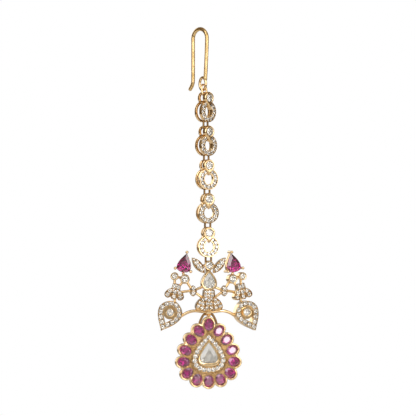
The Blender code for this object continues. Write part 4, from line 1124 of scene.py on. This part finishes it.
def wing(metal, stones):
    """One wing in its own plane, x outward from the fold line."""
    ruby_mount(metal)
    tail(metal, stones)
    for spot, radius, stone in ((INNER_BEZEL_PLACE, INNER_BEZEL_RADIUS, INNER_STONE_RADIUS),
                                (OUTER_BEZEL_PLACE, OUTER_BEZEL_RADIUS, OUTER_STONE_RADIUS)):
        round_collar(metal, radius, stone, -FACE_DEPTH, WING_BEZEL_BACK, place(*spot))
    lotus(metal, stones, WING_LOTUS_WIDTH, WING_LOTUS_HEIGHT, WING_BLOCK_STONES, WING_PETAL_STONES,
          (LARGE_PAVE_RADIUS, PAVE_RADIUS), place(*WING_LOTUS_PLACE, WING_LOTUS_TILT))
    inner, outer = INNER_BEZEL_PLACE, OUTER_BEZEL_PLACE
    ruby_foot = carried(ruby_seat(), 0, tear_tip(RUBY_LENGTH, RUBY_SHAPE) - RUBY_LENGTH)
    meets = {name: lotus_point(*shares) for name, shares in LOTUS_JOINS.items()}
    joins = ((inner, ruby_foot), (inner, outer), (inner, meets["inner"]), (outer, meets["outer"]),
             (meets["tail"], tail_top()), (inner, CONNECTOR_JOIN), (CONNECTOR_JOIN, meets["connector"]))
    for start, end in joins:
        metal.bar(start, end, WIRE_RADIUS, BACK_DEPTH - WIRE_SETBACK)


def leaf(metal, stones, side):
    """A pave leaf beside the top bezel, and the wire that joins it to the spine."""
    face = -FACE_DEPTH - LEAF_RAISE
    seat = place(side * LEAF_OFFSET, 0, -side * LEAF_ANGLE)
    metal.plate(marquise(LEAF_WIDTH, LEAF_LENGTH), face, LEAF_BACK, seat, rim=THIN_RIM)
    for share, size in LEAF_STONES:
        pave_cluster(metal, stones, [(0, share * LEAF_LENGTH)], face, seat, PAVE_RADIUS * size)
    metal.bar((side * SPINE_WIDTH / 4, 0), (side * LEAF_OFFSET, 0), LEAF_WIRE_RADIUS, LEAF_WIRE_DEPTH)


def connector(metal, stones, side):
    """The small pave plate between the column and a wing, and its two wires to the column."""
    face = -FACE_DEPTH + CONNECTOR_SETBACK
    spot = (side * FOLD_OFFSET, -CONNECTOR_DROP)
    seat = place(*spot)
    metal.plate(marquise(CONNECTOR_WIDTH, CONNECTOR_LENGTH), face, CONNECTOR_BACK, seat, rim=THIN_RIM)
    spots = [(0, share * CONNECTOR_LENGTH) for share in CONNECTOR_STONES]
    pave_row(metal, stones, spots, face, seat)
    shoulder = (0.0, pear_height() - CONNECTOR_SHOULDER * PEAR_LENGTH)
    metal.bar(spot, shoulder, WIRE_RADIUS, BACK_DEPTH - WIRE_SETBACK)
    foot = (side * CONNECTOR_FOOT[0] * LOTUS_WIDTH, lotus_height() - CONNECTOR_FOOT[1] * LOTUS_HEIGHT)
    metal.bar(spot, foot, WIRE_RADIUS, LOTUS_WIRE_DEPTH)


def column(metal, stones):
    """The middle of the centre piece, from its top bezel down to its lotus."""
    face = -FACE_DEPTH - COLUMN_RAISE
    round_collar(metal, TOP_BEZEL_RADIUS, TOP_STONE_RADIUS, face, -GAP_DEPTH / 2)
    post(metal, 0, centre_post())
    half, top = SPINE_WIDTH / 2, centre_post() + POST_RADIUS
    spine = [(-half, pear_height()), (-half, top), (half, top), (half, pear_height())]
    metal.loft([at_depth(spine, GAP_DEPTH / 2), at_depth(spine, SPINE_BACK)])
    floor = face + stone_rise(PEAR_WIDTH / 2) + PEAR_CUT["pavilion"] * PEAR_WIDTH + CULET_GAP
    metal.bezel(pear_outline(BEZEL_WALL), pear_outline(STONE_GAP), face, floor, BACK_DEPTH,
                place(0, pear_height()))
    for side in (-1, 1):
        leaf(metal, stones, side)
        connector(metal, stones, side)
    lotus(metal, stones, LOTUS_WIDTH, LOTUS_HEIGHT, BLOCK_STONES, PETAL_STONES,
          (SMALL_PAVE_RADIUS, SMALL_PAVE_RADIUS), place(0, lotus_height()))


def arch_wire(metal):
    """The wire under the lotus that carries the drop and ends in both tails."""
    tail_spot = wing_matrix(1) @ Vector((TAIL_PLACE[0], 0, TAIL_PLACE[1]))
    inner = tail_spot.x - TAIL_WIDTH / 2
    half = []
    for share, rise in ARCH_ROUTE:
        depth = HINGE_DEPTH + 0.5 * tail_spot.y * share ** 2
        half.append((inner * share, depth, hinge_height() + rise * ARCH_WIRE_RADIUS))
    mirrored = [(-x, y, z) for x, y, z in reversed(half[1:])]
    metal.tube(smooth(mirrored + half), ARCH_WIRE_RADIUS)


def build_centre():
    spot = link_places()[-1]
    base = Matrix.Translation(spot)
    metal = Piece("centre_metal", GOLD)
    stones = Stones("centre_pave", DIAMOND)
    column(metal, stones)
    arch_wire(metal)
    metal.finish(location=spot, nodes=["centre_frame"])
    stones.finish(location=spot)
    face = -FACE_DEPTH - COLUMN_RAISE
    round_gem("centre_round_gem", TOP_STONE_RADIUS, nodes=["centre_round_stone"],
              matrix=base @ place(0, 0, 0, face + stone_rise(TOP_STONE_RADIUS)))
    gem_piece("centre_pear_gem", tear(PEAR_WIDTH, PEAR_LENGTH, PEAR_SHAPE, GEM_SIDES), PEAR_WIDTH, PEAR_CUT,
              IVORY, nodes=["centre_pear_stone"],
              matrix=base @ place(0, pear_height(), 0, face + stone_rise(PEAR_WIDTH / 2)))
    for side, label in ((-1, "left"), (1, "right")):
        build_wing(base, side, label)


def build_wing(base, side, label):
    metal = Piece(f"wing_{label}_metal", GOLD)
    stones = Stones(f"wing_{label}_pave", DIAMOND)
    wing(metal, stones)
    for piece in (metal, stones):
        piece.mesh.transform(wing_matrix(side))
        if side < 0:
            bmesh.ops.reverse_faces(piece.mesh, faces=piece.mesh.faces)
        piece.finish(location=base.translation)
    mirror = Matrix.Diagonal((side, 1, 1, 1))
    plane = base @ wing_matrix(side) @ mirror
    ruby = plane @ mirror @ ruby_seat() @ mirror @ Matrix.Translation((0, RUBY_SETBACK - FACE_DEPTH, 0))
    gem_piece(f"wing_{label}_ruby", tear(RUBY_WIDTH, RUBY_LENGTH, RUBY_SHAPE, GEM_SIDES), RUBY_WIDTH,
              PEAR_RUBY_CUT, RUBY, matrix=ruby, slot="ruby", nodes=[f"wing_ruby_{label}"])
    for kind, spot, radius, lift in (("inner", INNER_BEZEL_PLACE, INNER_STONE_RADIUS, 0.0),
                                     ("outer", OUTER_BEZEL_PLACE, OUTER_STONE_RADIUS, 0.0),
                                     ("tail", TAIL_PLACE, TAIL_STONE_RADIUS, TAIL_BEZEL_RAISE)):
        depth = -FACE_DEPTH - lift + stone_rise(radius)
        round_gem(f"wing_{label}_{kind}_gem", radius, nodes=[f"wing_{kind}_stone_{label}"],
                  matrix=plane @ place(side * spot[0], spot[1], 0, depth))


# Drop, measured from its hinge

def oval_places():
    """Where the drop's oval rubies lie: (x, z, angle of the long axis from +z)."""
    width = HALO_WIDTH + OVAL_LENGTH + 2 * OVAL_SIDE_GAP
    length = HALO_DROP + HALO_LENGTH + OVAL_FOOT_GAP - DROP_TOP - DROP_WALL - OVAL_GAP
    path = raw_tear(width, length, OVAL_PATH_SHAPE, OVAL_PATH_STEPS)
    top = -DROP_TOP - DROP_WALL - OVAL_GAP - OVAL_LENGTH / 2
    shift = top - tear_tip(length, OVAL_PATH_SHAPE)
    places = []
    for x, z, angle in spread(path, OVAL_COUNT):
        outward = 0.0 if abs(x) < 0.1 * MM and z > 0 else angle
        places.append((x, z + shift, outward))
    return places


def ovals_middle():
    return sum(z for _, z, _ in oval_places()) / OVAL_COUNT


def scallops(margin):
    """The drop's wavy outline, at a margin round its oval rubies."""
    ovals = oval_places()
    middle = ovals_middle()
    bearings = [atan2(x, z - middle) for x, z, _ in ovals]
    across, along = OVAL_WIDTH / 2 + margin, OVAL_LENGTH / 2 + margin
    outline = []
    for k, (x, z, angle) in enumerate(ovals):
        low = bearings[k] - ((bearings[k] - bearings[k - 1]) % (2 * pi)) / 2
        high = bearings[k] + ((bearings[(k + 1) % OVAL_COUNT] - bearings[k]) % (2 * pi)) / 2
        for i in range(SCALLOP_STEPS):
            bearing = low + (high - low) * i / SCALLOP_STEPS
            outline.append(ray_to_oval(bearing, middle, x, z, angle, across, along))
    return outline


def ray_to_oval(bearing, middle, x, z, angle, across, along):
    """The far point where a ray from the drop's middle leaves one oval."""

    def rounded(a, b):
        """A vector in the oval's own axes, squeezed so that the oval is a circle of radius 1."""
        return ((a * cos(angle) - b * sin(angle)) / across, (a * sin(angle) + b * cos(angle)) / along)

    ray = (sin(bearing), cos(bearing))
    aim = rounded(*ray)
    start = rounded(-x, middle - z)
    a = aim[0] ** 2 + aim[1] ** 2
    b = 2 * (aim[0] * start[0] + aim[1] * start[1])
    c = start[0] ** 2 + start[1] ** 2 - 1
    reach = (-b + max(0.0, b * b - 4 * a * c) ** 0.5) / (2 * a)
    return (reach * ray[0], middle + reach * ray[1])


def halo_height():
    return -HALO_DROP - tear_tip(HALO_LENGTH, HALO_SHAPE)


def halo_outline():
    return raised(tear(HALO_WIDTH, HALO_LENGTH, HALO_SHAPE), halo_height())


def centre_stone_height():
    return -HALO_DROP - HALO_BAND * 1.5 - tear_tip(CENTRE_STONE_LENGTH, TRIANGLE_SHAPE)


def pockets(metal, floor):
    """A thin gold collar round each oval, with a dark red wall inside that is painted ruby reflection and
    shade; neighbours run together.
    """
    inner = oval(OVAL_WIDTH + STONE_GAP, OVAL_LENGTH + STONE_GAP)
    outer = inset(inner, -POCKET_WALL)
    face = -DROP_FRONT + 0.5 * OVAL_SETBACK
    for x, z, angle in oval_places():
        steps = ((outer, floor), (outer, face + EDGE), (inset(outer, EDGE), face),
                 (inset(inner, -EDGE / 2), face), (inner, face + EDGE), (inner, floor))
        metal.loft([at_depth(outline, y) for outline, y in steps], place(x, z, angle),
                   [POLISH] * 4 + [PAINTED_RUBY_REFLECTION] * 2, looped=True)


def webs(metal, floor):
    """Gold between neighbouring ovals, from where their collars meet in to the halo, in the darker gold of
    painted shade.
    """
    middle = ovals_middle()
    ovals = oval_places()
    halo = halo_outline()
    collar = inset(oval(OVAL_WIDTH, OVAL_LENGTH), -POCKET_WALL / 2)
    rings = [[carried(place(x, z, angle), a, b) for a, b in collar] for x, z, angle in ovals]

    def seen_from_middle(points, start, width, most):
        """Points within a turn from a bearing and closer than a reach, as (turn, reach, point)."""
        result = []
        for x, z in points:
            turn = (atan2(x, z - middle) - start) % (2 * pi)
            reach = hypot(x, z - middle)
            if turn < width and reach < most:
                result.append((turn, reach, (x, z)))
        return result

    for k, (x, z, _) in enumerate(ovals):
        after = (k + 1) % OVAL_COUNT
        next_x, next_z, _ = ovals[after]
        start = atan2(x, z - middle)
        width = (atan2(next_x, next_z - middle) - start) % (2 * pi)
        first = seen_from_middle(rings[k], start, width, hypot(x, z - middle))
        second = seen_from_middle(rings[after], start, width, hypot(next_x, next_z - middle))
        inside = seen_from_middle(halo, start, width, 1.0)
        outline = [p for _, _, p in sorted(first, key=lambda item: -item[1])]
        outline += [p for _, _, p in sorted(inside)]
        outline += [p for _, _, p in sorted(second, key=lambda item: item[1])]
        metal.loft([at_depth(outline, floor), at_depth(outline, OVAL_SETBACK - DROP_FRONT)], finish=PAINTED_RECESS_SHADE)


def halo_rim(metal, outline, front, back):
    """The outer of the halo's two thin rims, with a groove between them."""
    groove = HALO_RIM - 2 * EDGE
    steps = ((0, back), (0, front + EDGE), (EDGE, front), (groove - EDGE, front), (groove, front + EDGE),
             (groove, front + 3 * EDGE), (HALO_RIM + EDGE, front + 3 * EDGE), (HALO_RIM + EDGE, back))
    metal.loft(stepped(outline, steps), looped=True)


def setting(metal, stones):
    """The scalloped tray of the ovals, and the pave halo round the centre stone."""
    floor = DROP_BACK - DROP_FLOOR
    outer, inner = scallops(OVAL_GAP + DROP_WALL), scallops(OVAL_GAP)
    sections = [at_depth(inset(outer, EDGE), DROP_BACK), at_depth(outer, DROP_BACK - EDGE)]
    sections += [at_depth(mix(outer, inner, share), edges * EDGE - DROP_FRONT) for share, edges in TRAY_LIP]
    sections.append(at_depth(inner, floor))
    # The tray's inner wall takes the dark red of painted ruby reflection and shade, and its floor the
    # darker gold of painted shade.
    metal.loft(sections, None, [POLISH] * 7 + [PAINTED_RUBY_REFLECTION, PAINTED_RECESS_SHADE])
    pockets(metal, floor)
    webs(metal, floor)

    front = -DROP_FRONT - HALO_RAISE
    halo = halo_outline()
    stone = nested_tear(CENTRE_STONE_WIDTH, CENTRE_STONE_LENGTH, TRIANGLE_SHAPE, STONE_GAP)
    stone = raised(stone, centre_stone_height())
    collar = inset(stone, -DROP_BEZEL_WALL)
    level, foot = centre_stone_height(), min(z for _, z in collar)
    collar = [(x, z - CRESCENT * max(0.0, (level - z) / (level - foot)) ** 2) for x, z in collar]
    halo_rim(metal, halo, front, floor + SEAT_OVERLAP / 2)
    metal.plate(inset(halo, HALO_RIM), front, floor + SEAT_OVERLAP, hole=inset(collar, HALO_SEAM),
                rim=THIN_RIM)
    metal.bezel(collar, stone, front - DROP_BEZEL_RAISE, floor - DROP_SEAT_RAISE, floor + SEAT_OVERLAP)
    path_length = HALO_LENGTH - PAVE_PATH_LENGTH * HALO_BAND
    path = tear(HALO_WIDTH - HALO_BAND, path_length, HALO_SHAPE)
    top = halo_height() + tear_tip(HALO_LENGTH, HALO_SHAPE) - PAVE_PATH_TOP * HALO_BAND
    path = raised(path, top - tear_tip(path_length, HALO_SHAPE))
    spots = [(x, z) for x, z, _ in spread(path, HALO_PAVE_COUNT)]
    pave_row(metal, stones, spots, front, None, LARGE_PAVE_RADIUS, closed=True)


def bail(metal):
    """The ring round the arch wire, its neck, and the two straps behind."""
    hole = ARCH_WIRE_RADIUS + BAIL_GAP
    rim = hole + BAIL_WALL
    half = BAIL_WIDTH / 2
    sideways = Matrix.Rotation(pi / 2, 4, "Z")
    steps = ((rim, -half + EDGE), (rim, half - EDGE), (rim - EDGE, half), (hole + EDGE, half),
             (hole, half - EDGE), (hole, -half + EDGE), (hole + EDGE, -half), (rim - EDGE, -half))
    metal.loft(turned(steps, ARC_STEPS), sideways, looped=True)
    low, high = -DROP_TOP - DROP_WALL / 2, -hole - BAIL_WALL / 2
    side = half - BAIL_NECK_MARGIN
    top = BAIL_NECK_TAPER * side
    neck = [(-side, low), (-top, high), (top, high), (side, low)]
    metal.loft([at_depth(neck, -BAIL_WALL), at_depth(neck, BAIL_WALL)])
    for hand in (-1, 1):
        route = [(hand * x * MM, y * MM, z * MM) for x, y, z in STRAP_ROUTE]
        # The straps take the dark gold of painted shade.
        metal.tube(smooth(route, 6), STRAP_RADIUS, finish=SHADED, sides=12)


def build_drop():
    hinge = link_places()[-1] + Vector((0, HINGE_DEPTH, hinge_height()))
    base = Matrix.Translation(hinge)
    metal = Piece("drop_metal", GOLD)
    stones = Stones("drop_pave", DIAMOND)
    setting(metal, stones)
    bail(metal)
    metal.finish(location=hinge, body="drop", nodes=["drop_frame"])
    stones.finish(location=hinge, body="drop")
    middle = ovals_middle()
    for i, (x, z, angle) in enumerate(oval_places()):
        out = Vector((x, 0, z - middle))
        lean = Matrix.Rotation(OVAL_LEAN * out.length / (HALO_WIDTH / 2), 4, Vector((0, -1, 0)).cross(out))
        matrix = base @ Matrix.Translation((x, OVAL_SETBACK - DROP_FRONT, z)) @ lean @ place(0, 0, angle)
        outline = oval(OVAL_WIDTH, OVAL_LENGTH, ROUND_GEM_SIDES)
        gem_piece(f"drop_oval_{i + 1:02d}", outline, OVAL_WIDTH, OVAL_CUT, RUBY, matrix=matrix, body="drop",
                  slot="ruby", nodes=[f"drop_ruby_{i + 1:02d}"])
    outline = tear(CENTRE_STONE_WIDTH, CENTRE_STONE_LENGTH, TRIANGLE_SHAPE, GEM_SIDES)
    gem_piece("drop_centre_gem", outline, CENTRE_STONE_WIDTH, TRIANGLE_CUT, IVORY, body="drop",
              nodes=["drop_stone"],
              matrix=base @ place(0, centre_stone_height(), 0, CENTRE_STONE_SETBACK - DROP_FRONT))


# Studio

def softbox(name, first, last, low, high, distance, brightness):
    """A soft light between two turns about the jewel and two heights, aimed at its middle."""
    turn, spread_angle = radians((first + last) / 2), radians(last - first)
    data = bpy.data.lights.new(name, "AREA")
    data.shape = "RECTANGLE"
    data.size = 2 * distance * MM * tan(spread_angle / 2)
    data.size_y = (high - low) * MM
    data.energy = brightness * pi * data.size * data.size_y
    reach = Vector((sin(turn) * distance, -cos(turn) * distance, (low + high) / 2)) * MM
    result = add_object(name, data, Vector(CAMERA_TARGET) + reach)
    result.rotation_euler = (-reach).to_track_quat("-Z", "Y").to_euler()


def build_lights():
    for row in SOFTBOXES:
        softbox(*row)


def direction_tones(tree, value, stops):
    """A colour over one axis of the view directions, from -1 to 1."""
    span = tree.nodes.new("ShaderNodeMapRange")
    span.inputs["From Min"].default_value = -1.0
    span.inputs["From Max"].default_value = 1.0
    tree.links.new(value, span.inputs["Value"])
    return ramp(tree, span.outputs["Result"], stops)


def build_world():
    """White to the camera; to the jewel a room, light in front and above, warm and dark at the sides."""
    world = bpy.data.worlds.new("studio")
    world.use_nodes = True
    tree = world.node_tree
    shader = tree.nodes["Background"]
    coordinates = tree.nodes.new("ShaderNodeTexCoord")
    split = tree.nodes.new("ShaderNodeSeparateXYZ")
    tree.links.new(coordinates.outputs["Generated"], split.inputs["Vector"])
    around = direction_tones(tree, split.outputs["Y"], ROOM_AROUND)
    upward = direction_tones(tree, split.outputs["Z"], ROOM_UPWARD)
    product = tree.nodes.new("ShaderNodeVectorMath")
    product.operation = "MULTIPLY"
    tree.links.new(around, product.inputs[0])
    tree.links.new(upward, product.inputs[1])
    tree.links.new(product.outputs["Vector"], shader.inputs["Color"])
    white = tree.nodes.new("ShaderNodeBackground")
    white.inputs["Color"].default_value = (1, 1, 1, 1)
    rays = tree.nodes.new("ShaderNodeLightPath")
    pick = tree.nodes.new("ShaderNodeMixShader")
    tree.links.new(rays.outputs["Is Camera Ray"], pick.inputs["Fac"])
    tree.links.new(shader.outputs["Background"], pick.inputs[1])
    tree.links.new(white.outputs["Background"], pick.inputs[2])
    tree.links.new(pick.outputs["Shader"], tree.nodes["World Output"].inputs["Surface"])
    bpy.context.scene.world = world


def build_floor():
    mesh = bmesh.new()
    bmesh.ops.create_circle(mesh, cap_ends=True, segments=96, radius=FLOOR_RADIUS)
    data = bpy.data.meshes.new("floor")
    mesh.to_mesh(data)
    mesh.free()
    material, shader, tree = surface("floor_paper", grey(FLOOR_TONE), 0.0, PAPER_ROUGHNESS)
    bump(tree, shader, noise(tree, PAPER_SCALE), PAPER_BUMP, PAPER_DEPTH)
    data.materials.append(material)
    add_object("floor", data, (0, 0, FLOOR_HEIGHT))


def build_camera():
    data = bpy.data.cameras.new("camera")
    data.sensor_width = SENSOR
    data.lens = SENSOR * CAMERA_DISTANCE / VIEW_WIDTH
    data.clip_start = NEAREST
    target = Vector(CAMERA_TARGET)
    spot = target + CAMERA_DISTANCE * Vector((sin(CAMERA_TURN), -cos(CAMERA_TURN), 0))
    camera = add_object("camera", data, spot)
    camera.rotation_euler = (target - camera.location).to_track_quat("-Z", "Y").to_euler()
    bpy.context.scene.camera = camera


build_camera()
build_world()
build_floor()
build_lights()
build_hook()
build_hook_ring()
build_chain()
build_centre()
build_drop()
bpy.context.scene.view_settings.view_transform = "Standard"

bpy.context.view_layer.update()
